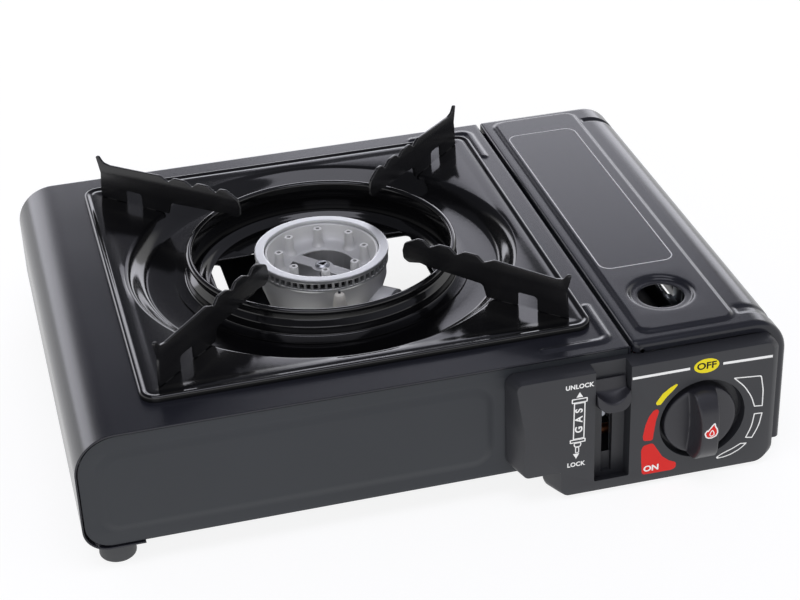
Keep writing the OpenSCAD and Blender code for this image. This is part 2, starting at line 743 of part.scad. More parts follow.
// Enamelled drip tray: square rim, flat corners, round dish and the burner opening
module drip_tray() {
    h = tray_w / 2;
    color("#17181a") difference() {
        translate([tray_x, tray_y, 0]) union() {
            translate([0, 0, flat_z - sheet]) linear_extrude(sheet) difference() {
                round_rect([-h, -h], [h, h], tray_r);
                circle(dish_r - 1);
            }
            translate([0, 0, top_z]) linear_extrude(tray_rim_h) difference() {
                round_rect([-h, -h], [h, h], tray_r);
                round_rect([sheet - h, sheet - h], [h - sheet, h - sheet], tray_r - sheet);
            }
            translate([0, 0, flat_z - eps]) linear_extrude(tray_step + eps) difference() {
                round_rect([-h, -h], [h, h], tray_r);
                round_rect([tray_rim_w - h, tray_rim_w - h], [h - tray_rim_w, h - tray_rim_w], tray_r / 2);
            }
            rotate_extrude() dish_profile();
        }
        translate([tray_x, tray_y, well_z - 9]) linear_extrude(20) {
            circle(burner_open_round);
            round_rect([-burner_open_w / 2, -burner_open_d / 2], [burner_open_w / 2, burner_open_d / 2],
                burner_open_r);
        }
        for (a = arm_angles(), s = tang_places())
            translate([tray_x, tray_y, 0]) rotate(a)
                block([s - tang_w / 2 - 0.3, -arm_t / 2 - 0.2, flat_z - 2],
                    [s + tang_w / 2 + 0.3, arm_t / 2 + 0.2, flat_z + 1]);
    }
}
module dish_profile() {
    t = sheet;
    polygon([
        [dish_r, flat_z], [dish_floor_r, dish_z], [well_r, dish_z], [well_r - 4, well_z],
        [burner_open_round - 3, well_z], [burner_open_round - 3, well_z - t], [well_r - 4.4, well_z - t],
        [well_r - 0.4, dish_z - t], [dish_floor_r + 0.4, dish_z - t], [dish_r - 0.6, flat_z - t],
        [dish_r + 1, flat_z - t], [dish_r + 1, flat_z]]);
}
function arm_angles() = [-45, 45, 135, 225];
function tang_places() = [foot_out_s() - foot_out_w / 2, foot_in_s() - 6];
function foot_out_s() = horn_s + 1;
function foot_in_s() = foot_out_s() - foot_out_w - window_w;

// Wind ring: rolled rim, stepped wall and a flange that rests on the dish floor
module wind_ring() {
    t = sheet;
    step_z = (dish_z + ring_z) / 2 - 1;
    r0 = ring_r - t / 2;
    r1 = r0 + ring_step;
    r2 = r1 + ring_foot_w;
    b = ring_bead_r;
    color("#17181a") at_burner() rotate_extrude() polygon(concat(
        [for (i = [0:15]) [r0 + b + b * cos(i * 22.5 - 157.5), ring_z - b + b * sin(i * 22.5 - 157.5)]],
        [[r0, ring_z - b], [r0, step_z + 1.1], [r1, step_z - 0.4], [r1, dish_z], [r2, dish_z],
            [r2, dish_z + t], [r1 + t, dish_z + t], [r1 + t, step_z], [r0 + t, step_z + 1.5],
            [r0 + t, ring_z - 2 * b + 0.2]]));
}

// Outline of a pan support in the plane of its sheet: radius from the burner, then height
function arm_outline() = let (
        f = flat_z, so = foot_out_s(), si = foot_in_s(), fi = si - 14, w = so - foot_out_w)
    [
        [so, f], [so, f + 4], [so - 3.4, f + 9], [so - 2.6, f + 14], [horn_s, horn_z],
        [horn_s - 3, horn_z - 3.4], [horn_s - 8, rest_z - 0.6], [horn_s - 17, rest_z - 1.2],
        [horn_s - 30, rest_z], [horn_s - 40, rest_z + 0.3], [horn_s - 44, rest_z - notch_d],
        [horn_s - 48, rest_z + 0.2], [horn_s - 59, rest_z - notch_d], [horn_s - 64, rest_z + 0.6],
        [horn_s - 71, rest_z + 0.3], [horn_s - 75, rest_z - notch_d], [horn_s - 79, rest_z + 0.6],
        [tip_s + 7, rest_z + 0.6], [tip_s + 3, rest_z - 2], [tip_s, rest_z - 5], [tip_s + 0.5, ring_z + 2],
        [tip_s + 10, ring_z + 0.1], [ring_r + 5, ring_z + 0.1], [ring_r + 13, ring_z - 1],
        [fi - 6, f + 4], [fi, f], [si, f], [si, f + window_h], [w, f + window_h], [w, f]];

// Pan support: a stamped plate with horn, notches, two feet, tangs and a bent tip
module pan_support(angle) {
    bend_s = ring_r - 4;
    color("#17181a") translate([tray_x, tray_y, 0]) rotate(angle) {
        intersection() {
            arm_plate();
            block([bend_s, -9, 0], [horn_s + 9, 9, top_z * 2]);
        }
        translate([bend_s, 0, 0]) rotate(tip_bend) translate([-bend_s, 0, 0]) intersection() {
            arm_plate();
            block([0, -9, 0], [bend_s + 0.35, 9, top_z * 2]);
        }
        for (s = tang_places()) {
            block([s - tang_w / 2, -arm_t / 2, flat_z - sheet - 0.7], [s + tang_w / 2, arm_t / 2, flat_z]);
            block([s - tang_w / 2, -arm_t / 2, flat_z - sheet - 0.7],
                [s + tang_w / 2, arm_t / 2 + 3, flat_z - sheet - 0.05]);
        }
    }
}
module arm_plate() {
    translate([0, arm_t / 2, 0]) rotate([90, 0, 0]) linear_extrude(arm_t) polygon(arm_outline());
}
module pan_support_front_right() { pan_support(arm_angles()[0]); }
module pan_support_rear_right() { pan_support(arm_angles()[1]); }
module pan_support_rear_left() { pan_support(arm_angles()[2]); }
module pan_support_front_left() { pan_support(arm_angles()[3]); }

// Moves its children to the burner's axis, turned to a given angle
module at_burner(angle = 0) { translate([tray_x, tray_y, 0]) rotate(angle) children(); }

// Cast aluminium cup with the neck that takes the mixing tube
module burner_cup() {
    w = cup_wall;
    color("#a7a9aa") difference() {
        union() {
            at_burner() rotate_extrude() polygon([
                [0, cup_z], [cup_floor_r, cup_z], [port_ring_r - 6, cup_z + 9], [port_ring_r - 1.4, port_z - 8],
                [port_ring_r - 1.4, port_z], [0, port_z]]);
            at_burner(mix_angle) rod_x(0, port_ring_r + 6, 0, mix_z, mix_r + w);
            at_burner() rod_z(cup_z - 3, cup_z + 1, 0, 0, 6);
        }
        at_burner() rotate_extrude() polygon([
            [0, cup_z + w], [cup_floor_r - 1, cup_z + w], [port_ring_r - 6 - w, cup_z + 10],
            [port_ring_r - 1.4 - w, port_z - 7], [port_ring_r - 1.4 - w, port_z + 1], [0, port_z + 1]]);
        at_burner(mix_angle) rod_x(0, port_ring_r + 7, 0, mix_z, mix_r + 0.05);
        at_burner() rod_z(cup_z - 4, cup_z + 4, 0, 0, screw_r + 0.1);
    }
}

// Machined ring with radial gas ports around its lower edge
module burner_port_ring() {
    color("#c9cbcc") at_burner() difference() {
        rotate_extrude() polygon([
            [port_ring_in, port_z], [port_ring_r - 0.6, port_z], [port_ring_r - 0.6, port_z + port_h + 0.5],
            [port_ring_r, port_z + port_h + 1.1], [port_ring_r, burner_z - 0.6], [port_ring_r - 0.6, burner_z],
            [port_ring_in + 0.8, burner_z], [port_ring_in, burner_z - 0.8]]);
        for (i = [0:port_count - 1])
            rotate(i * 360 / port_count)
                block([port_ring_in - 1, -port_w / 2, port_z + 0.5], [port_ring_r + 1, port_w / 2, port_z + port_h]);
    }
}

// Plate inside the ring with eight hollow posts and two kidney openings under a bridge
module burner_post_plate() {
    r = port_ring_in - 0.3;
    slot_out = post_circle - post_r - 3.5;
    color("#b3b5b6") at_burner(mix_angle) difference() {
        union() {
            rotate_extrude() polygon([
                [0, plate_z - 1.6], [r, plate_z - 1.6], [r, burner_z - 2.2], [r - 1.4, burner_z - 2.2],
                [r - 2.4, plate_z], [0, plate_z]]);
            for (i = [0:7], a = [i * 45 - mix_angle])
                rod_z(plate_z - 0.5, plate_z + post_h, post_circle * cos(a), post_circle * sin(a), post_r);
        }
        for (i = [0:7], a = [i * 45 - mix_angle])
            rod_z(plate_z, burner_z, post_circle * cos(a), post_circle * sin(a), post_hole_r);
        difference() {
            rod_z(plate_z - 2, plate_z + 1, 0, 0, slot_out);
            block([-slot_out - 1, -3.6, plate_z - 3], [slot_out + 1, 3.6, plate_z + 2]);
            rod_z(plate_z - 3, plate_z + 2, 0, 0, 5.4);
        }
        rod_z(plate_z - 3, plate_z + 2, 0, 0, screw_r + 0.1);
    }
}

// Long screw that clamps the plate, the cup and the bracket together
module burner_screw() {
    low = cup_z - 3 - sheet - 3;
    color("#c4c6c8") at_burner() difference() {
        union() {
            rod_z(low, plate_z, 0, 0, screw_r);
            rod_z(plate_z, plate_z + head_h, 0, 0, head_r);
            rod_z(low + 0.6, cup_z - 3 - 2 * sheet, 0, 0, head_r);
        }
        block([-head_r * 0.6, -0.4, plate_z + 0.5], [head_r * 0.6, 0.4, plate_z + 3]);
        block([-0.4, -head_r * 0.6, plate_z + 0.5], [0.4, head_r * 0.6, plate_z + 3]);
    }
}

// Bent strip that carries the burner over the base plate
module burner_bracket() {
    top = cup_z - 3;
    out = bracket_foot();
    t = 2 * sheet;
    w = 12;
    color("#8d9094") difference() {
        at_burner() {
            block([-out + 9, -w, top - t], [out - 9, w, top]);
            for (s = [-1, 1]) {
                block([s * (out - 9) - t / 2, -w, base_top], [s * (out - 9) + t / 2, w, top]);
                block([s * out - 9, -w, base_top], [s * out + 9, w, base_top + t]);
            }
        }
        at_burner() rod_z(top - 9, top + 1, 0, 0, screw_r + 0.1);
        for (s = [-1, 1])
            at_burner() rod_z(base_z - 1, base_top + 4, s * out, 0, screw_r + 0.1);
    }
}
module bracket_screws() {
    color("#9a9da0") {
        for (s = [-1, 1])
            at_burner() translate([s * bracket_foot(), 0, base_z]) screw(3 * sheet + 1.6);
        for (p = lever_bracket_screws())
            translate([part_x + sheet, p[0], p[1]]) rotate([0, -90, 0]) screw(2 * sheet + 1.2);
    }
}

// Steel tube that mixes gas and air, flared at its open end
module mixing_tube() {
    start = port_ring_r - 4;
    color("#a9abad") at_burner(mix_angle) translate([0, 0, mix_z]) rotate([0, 90, 0]) rotate_extrude()
        polygon([
            [mix_r - 1.2, start], [mix_r, start], [mix_r, mix_len - 8], [mix_r + 1, mix_len],
            [mix_r - 0.2, mix_len], [mix_r - 1.2, mix_len - 8]]);
}

// Sleeve with air windows between the mixing tube and the jet
module air_collar() {
    x1 = mix_len + collar_len;
    color("#b3b5b6") at_burner(mix_angle) difference() {
        rod_x(mix_len - 6, x1, 0, mix_z, mix_r + collar_wall);
        rod_x(mix_len - 7, x1 - 1.5, 0, mix_z, mix_r + 1.05);
        rod_x(mix_len - 7, x1 + 1, 0, mix_z, jet_r + 0.05);
        for (a = [0, 90, 180, 270])
            translate([0, 0, mix_z]) rotate([a + 45, 0, 0])
                block([mix_len + 1.5, -4, 0], [x1 - 3.5, 4, mix_r + 5]);
    }
}

// Brass jet: a hexagon nut with a tapered nose
module gas_jet() {
    x0 = mix_len + collar_len - 8;
    color("#b8934a") at_burner(mix_angle) difference() {
        union() {
            translate([x0, 0, mix_z]) rotate([0, 90, 0]) rotate_extrude() polygon([
                [0, 0], [1.2, 0], [jet_r - 1, 5], [jet_r, 5], [jet_r, 11], [0, 11]]);
            translate([x0 + 8, 0, mix_z]) rotate([0, 90, 0]) cylinder(h = 6, r = jet_r + 1.6, $fn = 6);
        }
        rod_x(x0 - 1, x0 + 15, 0, mix_z, 0.6);
        rod_x(x0 + 9, x0 + 15, 0, mix_z, pipe_r + 0.02);
    }
}

// Points of a quarter turn that rounds the square corner at b
function turn(a, b, c, r) = let (u = (a - b) / norm(a - b), v = (c - b) / norm(c - b), m = b + r * (u + v))
    [for (t = [0:15:90]) m - r * (v * cos(t) + u * sin(t))];

// A point on the mixing tube's axis, at a distance from the burner
function on_mix(s) = [tray_x + s * cos(mix_angle), tray_y + s * sin(mix_angle), mix_z];
function pipe_corners() = let (far = on_mix(mix_len + collar_len + 7 + pipe_bend)) [
    on_mix(mix_len + collar_len + 1), far, [far[0], far[1], pipe_z], [far[0], pipe_y, pipe_z],
    [knob_x - valve_w / 2, pipe_y, pipe_z]];

// Tube along a list of points
module swept_tube(points, r, sides) {
    n = len(points);
    dirs = [for (i = [0:n - 1]) let (d = points[min(i + 1, n - 1)] - points[max(i - 1, 0)]) d / norm(d)];
    rings = [for (i = [0:n - 1]) let (
            t = dirs[i], u = cross(t, tube_side), un = u / norm(u), v = cross(un, t))
        each [for (k = [0:sides - 1]) points[i] + r * (cos(k * 360 / sides) * un + sin(k * 360 / sides) * v)]];
    walls = [for (i = [0:n - 2], k = [0:sides - 1]) [
        i * sides + k, i * sides + (k + 1) % sides, (i + 1) * sides + (k + 1) % sides, (i + 1) * sides + k]];
    ends = [[for (k = [0:sides - 1]) sides - 1 - k], [for (k = [0:sides - 1]) (n - 1) * sides + k]];
    polyhedron(points = rings, faces = concat(walls, ends));
}
// A fixed direction that none of the routes run along
tube_side = [0.36, 0.8, 0.48];

// Bent copper pipe from the valve block, through the partition, to the jet
module gas_pipe() {
    p = pipe_corners();
    color("#b08d57") swept_tube(concat(
        [p[0]], turn(p[0], p[1], p[2], pipe_bend), turn(p[1], p[2], p[3], pipe_bend),
        turn(p[2], p[3], p[4], pipe_bend), [p[4]]), pipe_r, 16);
}
module pipe_nuts() {
    color("#b8934a") difference() {
        translate([knob_x - valve_w / 2 - 6, pipe_y, pipe_z]) rotate([0, 90, 0])
            cylinder(h = 5.95, r = nut_r, $fn = 6);
        rod_x(part_x, knob_x, pipe_y, pipe_z, pipe_r + 0.02);
    }
}

// Spark electrode: white ceramic body, steel pin, clip to the cup, and the lead to the igniter
function spark_at() = [tray_x, tray_y - spark_r];
module electrode_ceramic() {
    p = spark_at();
    color("#e8e4d8") translate([p[0], p[1], 0]) rotate_extrude() polygon([
        [0.7, port_z - 16], [ceramic_r, port_z - 16], [ceramic_r, port_z - 7], [ceramic_r + 0.9, port_z - 6],
        [ceramic_r + 0.9, port_z - 4], [ceramic_r, port_z - 3], [ceramic_r - 0.4, port_z + 1], [0.7, port_z + 2]]);
}
module electrode_pin() {
    p = spark_at();
    color("#9a9da0") rod_z(port_z - 18, port_z + 3.6, p[0], p[1], 0.68);
}
module electrode_clip() {
    p = spark_at();
    z = port_z - 8.4;
    color("#9a9da0") difference() {
        union() {
            rod_z(z, z + 1.2, p[0], p[1], ceramic_r + 1.6);
            block([p[0] - 2, p[1] + 2, z], [p[0] + 2, tray_y - port_ring_r + 1.35, z + 1.2]);
        }
        rod_z(z - 1, z + 2, p[0], p[1], ceramic_r + 0.03);
    }
}

// Route of the high-tension lead, from the igniter to the electrode's foot
lead_points = let (p = spark_at(), z = port_z - 18, r = lead_route) [
    [piezo_x, piezo_y, piezo_z + piezo_h + 3], [piezo_x, piezo_y, piezo_z + piezo_h + 7],
    [piezo_x - 2, lead_y - 1, lead_z - 1], [piezo_x - 6, lead_y, lead_z], [part_x - 12, lead_y, lead_z],
    [part_x - 30, lead_y + 4, lead_z - 2], [part_x - 44, lead_y + 11, lead_z - 10],
    [part_x - 54, lead_y + 21, lead_z - 22], [p[0] + 48, p[1] - 42, r + 4], [p[0] + 30, p[1] - 32, r],
    [p[0] + 13, p[1] - 20, r + 4], [p[0] + 4, p[1] - 9, z - 14], [p[0], p[1] - 2, z - 6], [p[0], p[1], z - 2],
    [p[0], p[1], z]];
module ignition_lead() { color("#b5342c") swept_tube(lead_points, lead_r, 8); }

// Steel angle that carries the valve on the bay floor
module regulator_bracket() {
    x0 = knob_x - valve_w / 2 - 4;
    color("#8d9094") difference() {
        union() {
            block([x0, bracket_y, bay_top], [x0 + 44, bracket_y + bracket_t, bay_top + 54]);
            block([x0, bracket_y, bay_top], [x0 + 44, bracket_y + 12, bay_top + bracket_t]);
        }
        rod_y(bracket_y - 1, bracket_y + 3, knob_x, knob_z, stem_r + 1);
    }
}
// Die-cast valve block behind the knob
module valve_block() {
    x0 = knob_x - valve_w / 2;
    z0 = knob_z - valve_h / 2;
    color("#a7a9aa") difference() {
        block([x0, valve_y, z0], [x0 + valve_w, valve_y + valve_d, z0 + valve_h]);
        rod_y(valve_y - 1, valve_y + 12, knob_x, knob_z, stem_r + pin_clear);
    }
}
module regulator_body() {
    color("#a7a9aa") rod_y(regulator_y, cover_y, can_x, can_z, regulator_r);
}
module diaphragm_cover() {
    color("#9a9da0") difference() {
        union() {
            rod_y(cover_y, cover_y + 1.2, can_x, can_z, regulator_r);
            translate([can_x, cover_y + 1.2, can_z]) rotate([-90, 0, 0])
                rotate_extrude() polygon([[0, 0], [regulator_r - 7, 0], [regulator_r - 9, cover_d - 1.2],
                    [0, cover_d - 1.2]]);
        }
        for (p = cover_screw_places())
            rod_y(cover_y - 1, inlet_y + 1, p[0], p[1], screw_r + 0.1);
        rod_y(cover_y - 1, inlet_y + 1, can_x, can_z, inlet_bore + 1);
    }
}
function cover_screw_places() = [for (a = [45:90:315])
    [can_x + (regulator_r - 3.2) * cos(a), can_z + (regulator_r - 3.2) * sin(a)]];
module cover_screws() {
    color("#9a9da0") for (p = cover_screw_places())
        translate([p[0], cover_y + 1.2, p[1]]) rotate([90, 0, 0]) screw(1.2);
}
// Threaded boss that takes the cartridge's nozzle, with its rubber seal
module cartridge_inlet() {
    color("#b8934a") difference() {
        rod_y(inlet_y, inlet_y + inlet_len, can_x, can_z, inlet_r);
        rod_y(inlet_y + 1.5, inlet_y + inlet_len + 1, can_x, can_z, inlet_bore);
        rod_y(inlet_y + inlet_len - 2.5, inlet_y + inlet_len + 1, can_x, can_z, inlet_bore + 1.6);
    }
}
module inlet_seal() {
    color("#1b1b1c") translate([can_x, inlet_y + inlet_len - 2.45, can_z]) rotate([-90, 0, 0])
        rotate_extrude() translate([inlet_bore + 0.1, 0]) square([1.4, 2]);
}
// Piezo igniter beside the valve block
module piezo_igniter() {
    x1 = knob_x - valve_w / 2 - 0.05;
    color("#2b2b2d") {
        block([x1 - 12, valve_y, piezo_z], [x1, regulator_y - 1.6, piezo_z + piezo_h]);
        rod_z(piezo_z + piezo_h - 0.1, piezo_z + piezo_h + 3, piezo_x, piezo_y, 2.4);
    }
}
// Steel tab that fits the notch in the cartridge's collar
module notch_guide() {
    z = can_z + regulator_r - 3;
    color("#8d9094") {
        block([can_x - 6, valve_y + 0.05, z + 3.1], [can_x + 6, inlet_y + inlet_len + 6, z + 4.1]);
        block([can_x - 2, inlet_y + inlet_len + 5, z - 4], [can_x + 2, inlet_y + inlet_len + 6, z + 3.2]);
    }
}

// Knob with a skirt, a grip bar and a socket for the stem
module control_knob() {
    y0 = recess_y - 0.5;
    y1 = face_y - knob_reach;
    skirt = face_y - 1.5;
    color("#2d2e30") difference() {
        union() {
            translate([knob_x, y0, knob_z]) rotate([90, 0, 0]) rotate_extrude() polygon([
                [0, 0], [knob_r, 0], [knob_r, y0 - skirt - 1.5], [knob_r - 1.5, y0 - skirt], [0, y0 - skirt]]);
            intersection() {
                rod_y(y1, skirt + 1, knob_x, knob_z, knob_r);
                block([knob_x - grip_w / 2, y1, knob_z - knob_r], [knob_x + grip_w / 2, skirt + 1, knob_z + knob_r]);
            }
        }
        rod_y(skirt + 2, y0 + 1, knob_x, knob_z, stem_r + 0.03);
    }
}
module valve_stem() {
    color("#b8934a") rod_y(face_y + 0.8, valve_y + 11.5, knob_x, knob_z, stem_r);
}

// Places its children on the lever's pivot, turned to the unlocked position
module on_lever() { translate([lever_x, pivot_y, pivot_z]) rotate([-lever_half, 0, 0]) children(); }

// Steel lever: an arm to the thumb pad, a hub and a fork for the pusher's peg
module lock_lever() {
    t = lever_t / 2;
    fork_w = peg_r + 0.7;
    color("#a7a9aa") on_lever() difference() {
        union() {
            block([-t, -lever_len + pad_t / 2, -lever_w / 2], [t, 0, lever_w / 2]);
            rod_x(-t, t, 0, 0, pivot_r + 3);
            block([-t, -fork_w - 1.8, 0], [t, fork_w + 1.8, fork_len + 3]);
        }
        rod_x(-t - 1, t + 1, 0, 0, pivot_r + pin_clear);
        block([-t - 1, -fork_w, fork_len - peg_r - 1.2], [t + 1, fork_w, fork_len + 4]);
    }
}
// Moulded thumb pad with a rounded lower end
module lever_pad() {
    w = channel_w - 1.2;
    y = -lever_len - pad_t / 2;
    color("#3a3b3e") on_lever() difference() {
        union() {
            block([-w / 2, y, -pad_h / 2 + 6], [w / 2, y + pad_t, pad_h / 2]);
            block([-w / 2 + 6, y, -pad_h / 2], [w / 2 - 6, y + pad_t, -pad_h / 2 + 6]);
            for (s = [-1, 1])
                rod_y(y, y + pad_t, s * (w / 2 - 6), -pad_h / 2 + 6, 6);
        }
        block([-lever_t / 2 - 0.02, -lever_len + pad_t / 2 - 2.5, -lever_w / 2 - 0.02],
            [lever_t / 2 + 0.02, 0, lever_w / 2 + 0.02]);
    }
}
module lever_pin() {
    color("#c4c6c8") {
        rod_x(lever_x - lever_t / 2 - 1.8, part_x - 0.1, pivot_y, pivot_z, pivot_r);
        rod_x(lever_x - lever_t / 2 - 1.8, lever_x - lever_t / 2 - 0.3, pivot_y, pivot_z, pivot_r + 1.6);
    }
}
// Plate on the partition with the boss that holds the lever's pin
module lever_bracket() {
    color("#8d9094") difference() {
        union() {
            block([part_x - 1.2, pivot_y - 8, pivot_z - 9], [part_x, pivot_y + 13, pivot_z + 7]);
            rod_x(lever_x + lever_t / 2 + 0.3, part_x, pivot_y, pivot_z, pivot_r + 2);
        }
        rod_x(lever_x, part_x + 1, pivot_y, pivot_z, pivot_r + 0.02);
        for (p = lever_bracket_screws())
            rod_x(part_x - 3, part_x + 1, p[0], p[1], screw_r + 0.1);
    }
}

// Sliding plate under the cartridge, with a back plate, a side arm and the fork's peg
module cartridge_pusher() {
    t = sheet;
    z0 = bay_top + 0.05;
    x0 = can_x - pusher_w / 2;
    back = face_back - sheet - pusher_back;
    side_x = part_x + sheet + head_h + 0.6;
    color("#b3b5b6") {
        block([x0, peg_y - 6, z0], [x0 + pusher_w, back, z0 + t]);
        block([x0, back - t, z0], [x0 + pusher_w, back, z0 + pusher_h]);
        block([side_x, peg_y - 6, z0], [x0 + 1, peg_y + 6, z0 + t]);
        block([side_x, peg_y - 6, z0], [side_x + t, peg_y + 6, peg_z + 4]);
        rod_x(lever_x - lever_t / 2 - 0.5, side_x + t, peg_y, peg_z, peg_r);
    }
}

body_shell();
front_panel();
rear_panel();
base_plate();
bay_floor();
partition();
foot_front_left();
foot_rear_left();
foot_front_right();
foot_rear_right();
foot_screws();
control_panel();
panel_screws();
lid_hinge_pin();
cartridge_lid();
lid_hinge_leaves();
drip_tray();
wind_ring();
pan_support_front_right();
pan_support_rear_right();
pan_support_rear_left();
pan_support_front_left();
burner_cup();
burner_port_ring();
burner_post_plate();
burner_screw();
burner_bracket();
mixing_tube();
air_collar();
gas_jet();
gas_pipe();
pipe_nuts();
electrode_ceramic();
electrode_pin();
electrode_clip();
ignition_lead();
regulator_bracket();
valve_block();
regulator_body();
diaphragm_cover();
cover_screws();
cartridge_inlet();
inlet_seal();
piezo_igniter();
notch_guide();
control_knob();
valve_stem();
lock_lever();
lever_pad();
lever_pin();
lever_bracket();
cartridge_pusher();
bracket_screws();
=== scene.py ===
import math

import bmesh
import bpy
from mathutils import Matrix, Vector


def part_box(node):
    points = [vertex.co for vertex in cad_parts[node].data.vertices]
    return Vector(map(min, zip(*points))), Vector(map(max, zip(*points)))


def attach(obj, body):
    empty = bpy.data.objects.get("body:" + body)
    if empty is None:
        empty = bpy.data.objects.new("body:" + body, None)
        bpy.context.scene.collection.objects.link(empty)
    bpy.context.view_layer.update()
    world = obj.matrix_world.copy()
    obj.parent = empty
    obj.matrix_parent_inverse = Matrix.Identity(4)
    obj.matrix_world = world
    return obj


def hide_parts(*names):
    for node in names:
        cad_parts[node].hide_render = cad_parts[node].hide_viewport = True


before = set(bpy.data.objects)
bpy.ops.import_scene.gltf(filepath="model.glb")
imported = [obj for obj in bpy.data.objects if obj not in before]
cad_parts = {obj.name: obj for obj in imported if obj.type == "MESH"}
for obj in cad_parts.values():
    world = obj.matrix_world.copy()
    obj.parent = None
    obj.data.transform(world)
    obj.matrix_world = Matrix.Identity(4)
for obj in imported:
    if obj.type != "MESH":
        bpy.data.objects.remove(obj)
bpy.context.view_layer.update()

# ---------------------------------------------------------------------------
# Camera: a long lens above the front left corner of the stove.
# ---------------------------------------------------------------------------
camera_data = bpy.data.cameras.new("studio_camera")
camera_data.sensor_width = 36.0
camera_data.lens = 89.53
camera_data.shift_x = -0.03225
camera_data.shift_y = 0.02645
camera_data.clip_start = 0.05
camera_data.clip_end = 20
camera = bpy.data.objects.new("studio_camera", camera_data)
camera_right = Vector((0.96372813, -0.26560967, -0.02606916))
camera_up = Vector((0.1594944, 0.49486435, 0.85420771))
camera_back = Vector((-0.21398513, -0.82738188, 0.51927795))
camera.matrix_world = Matrix.Translation((-0.19743, -0.84845, 0.56693)) @ Matrix(
    (camera_right, camera_up, camera_back)
).transposed().to_4x4()
bpy.context.scene.collection.objects.link(camera)
bpy.context.scene.camera = camera
bpy.context.scene.view_settings.view_transform = "Standard"


# ---------------------------------------------------------------------------
# Studio: a pale floor and world, with soft panels that the black enamel
# and the satin paint mirror.
# ---------------------------------------------------------------------------
def linear(code):
    """A colour written as an sRGB hex value, as linear red, green, blue and alpha."""
    parts = [int(code[i : i + 2], 16) / 255 for i in (1, 3, 5)]
    return tuple(p / 12.92 if p <= 0.04045 else ((p + 0.055) / 1.055) ** 2.4 for p in parts) + (1.0,)


def add(tree, kind, settings=None, **inputs):
    """Adds one node: settings are its properties, inputs its sockets by name or _number."""
    node = tree.nodes.new(kind)
    for key, value in (settings or {}).items():
        setattr(node, key, value)
    for key, value in inputs.items():
        socket = node.inputs[int(key[1:])] if key[0] == "_" else node.inputs[key.replace("_", " ")]
        if isinstance(value, bpy.types.NodeSocket):
            tree.links.new(value, socket)
        else:
            socket.default_value = value
    return node


def new_material(name):
    """An empty node material with its output node."""
    material = bpy.data.materials.new(name)
    material.use_nodes = True
    material.node_tree.nodes.clear()
    return material, material.node_tree, material.node_tree.nodes.new("ShaderNodeOutputMaterial")


floor_mesh = bpy.data.meshes.new("studio_floor")
floor_mesh.from_pydata([(-6, -6, 0), (6, -6, 0), (6, 6, 0), (-6, 6, 0)], [], [(0, 1, 2, 3)])
floor = bpy.data.objects.new("studio_floor", floor_mesh)
bpy.context.scene.collection.objects.link(floor)
# Paper that glows a little by itself: the ground stays white and the shadows on it stay pale.
floor_paper, tree, out = new_material("white studio paper")
paper = add(tree, "ShaderNodeBsdfDiffuse", Color=linear("#8c8c8c"))
glow = add(tree, "ShaderNodeEmission", Color=(1, 1, 1, 1), Strength=0.85)
lit_paper = add(tree, "ShaderNodeAddShader", _0=paper.outputs[0], _1=glow.outputs[0])
tree.links.new(lit_paper.outputs[0], out.inputs[0])
floor_mesh.materials.append(floor_paper)

world = bpy.data.worlds.new("studio_world")
bpy.context.scene.world = world
world.use_nodes = True
tree = world.node_tree
tree.nodes.clear()
way = add(tree, "ShaderNodeTexCoord").outputs["Generated"]
height = add(tree, "ShaderNodeSeparateXYZ", Vector=way).outputs["Z"]
backdrop = add(
    tree, "ShaderNodeMapRange", {"interpolation_type": "SMOOTHSTEP"},
    Value=height, _1=0.34, _2=0.47, _3=1.0, _4=0.0,
)
side = add(tree, "ShaderNodeSeparateXYZ", Vector=way).outputs["X"]
glow = add(tree, "ShaderNodeMapRange", Value=side, _1=-0.1, _2=0.45, _3=0.13, _4=0.36)
ceiling = add(tree, "ShaderNodeBackground", Color=linear("#e2e4f4"), Strength=glow.outputs[0])
white = add(tree, "ShaderNodeBackground", Color=(1, 1, 1, 1), Strength=1.0)
mix = add(tree, "ShaderNodeMixShader", _0=backdrop.outputs[0], _1=ceiling.outputs[0], _2=white.outputs[0])
tree.links.new(mix.outputs[0], add(tree, "ShaderNodeOutputWorld").inputs[0])


def soft_panel(name, place, aim, size, brightness):
    """A rectangular lamp in metres, turned to face a point, as bright as a white card times a factor."""
    lamp = bpy.data.lights.new(name, "AREA")
    lamp.shape = "RECTANGLE"
    lamp.size, lamp.size_y = size
    lamp.energy = brightness * math.pi * size[0] * size[1]
    lamp.color = linear("#ececf8")[:3]
    panel = bpy.data.objects.new(name, lamp)
    panel.location = place
    panel.rotation_euler = (Vector(aim) - Vector(place)).to_track_quat("-Z", "Y").to_euler()
    panel.visible_camera = False
    bpy.context.scene.collection.objects.link(panel)


soft_panel("panel_top", (-0.2, -0.55, 1.9), (0, 0, 0.05), (1.5, 1.0), 2.4)
soft_panel("panel_front", (-0.6, -1.7, 1.0), (0, 0, 0.05), (1.3, 0.8), 1.2)
soft_panel("panel_strip", (0.0, 2.2, 0.60), (0, 0, 0.55), (4.2, 0.85), 2.3)
soft_panel("panel_back_right", (0.75, 2.2, 1.26), (0.05, 0, 0.07), (0.9, 0.36), 1.6)


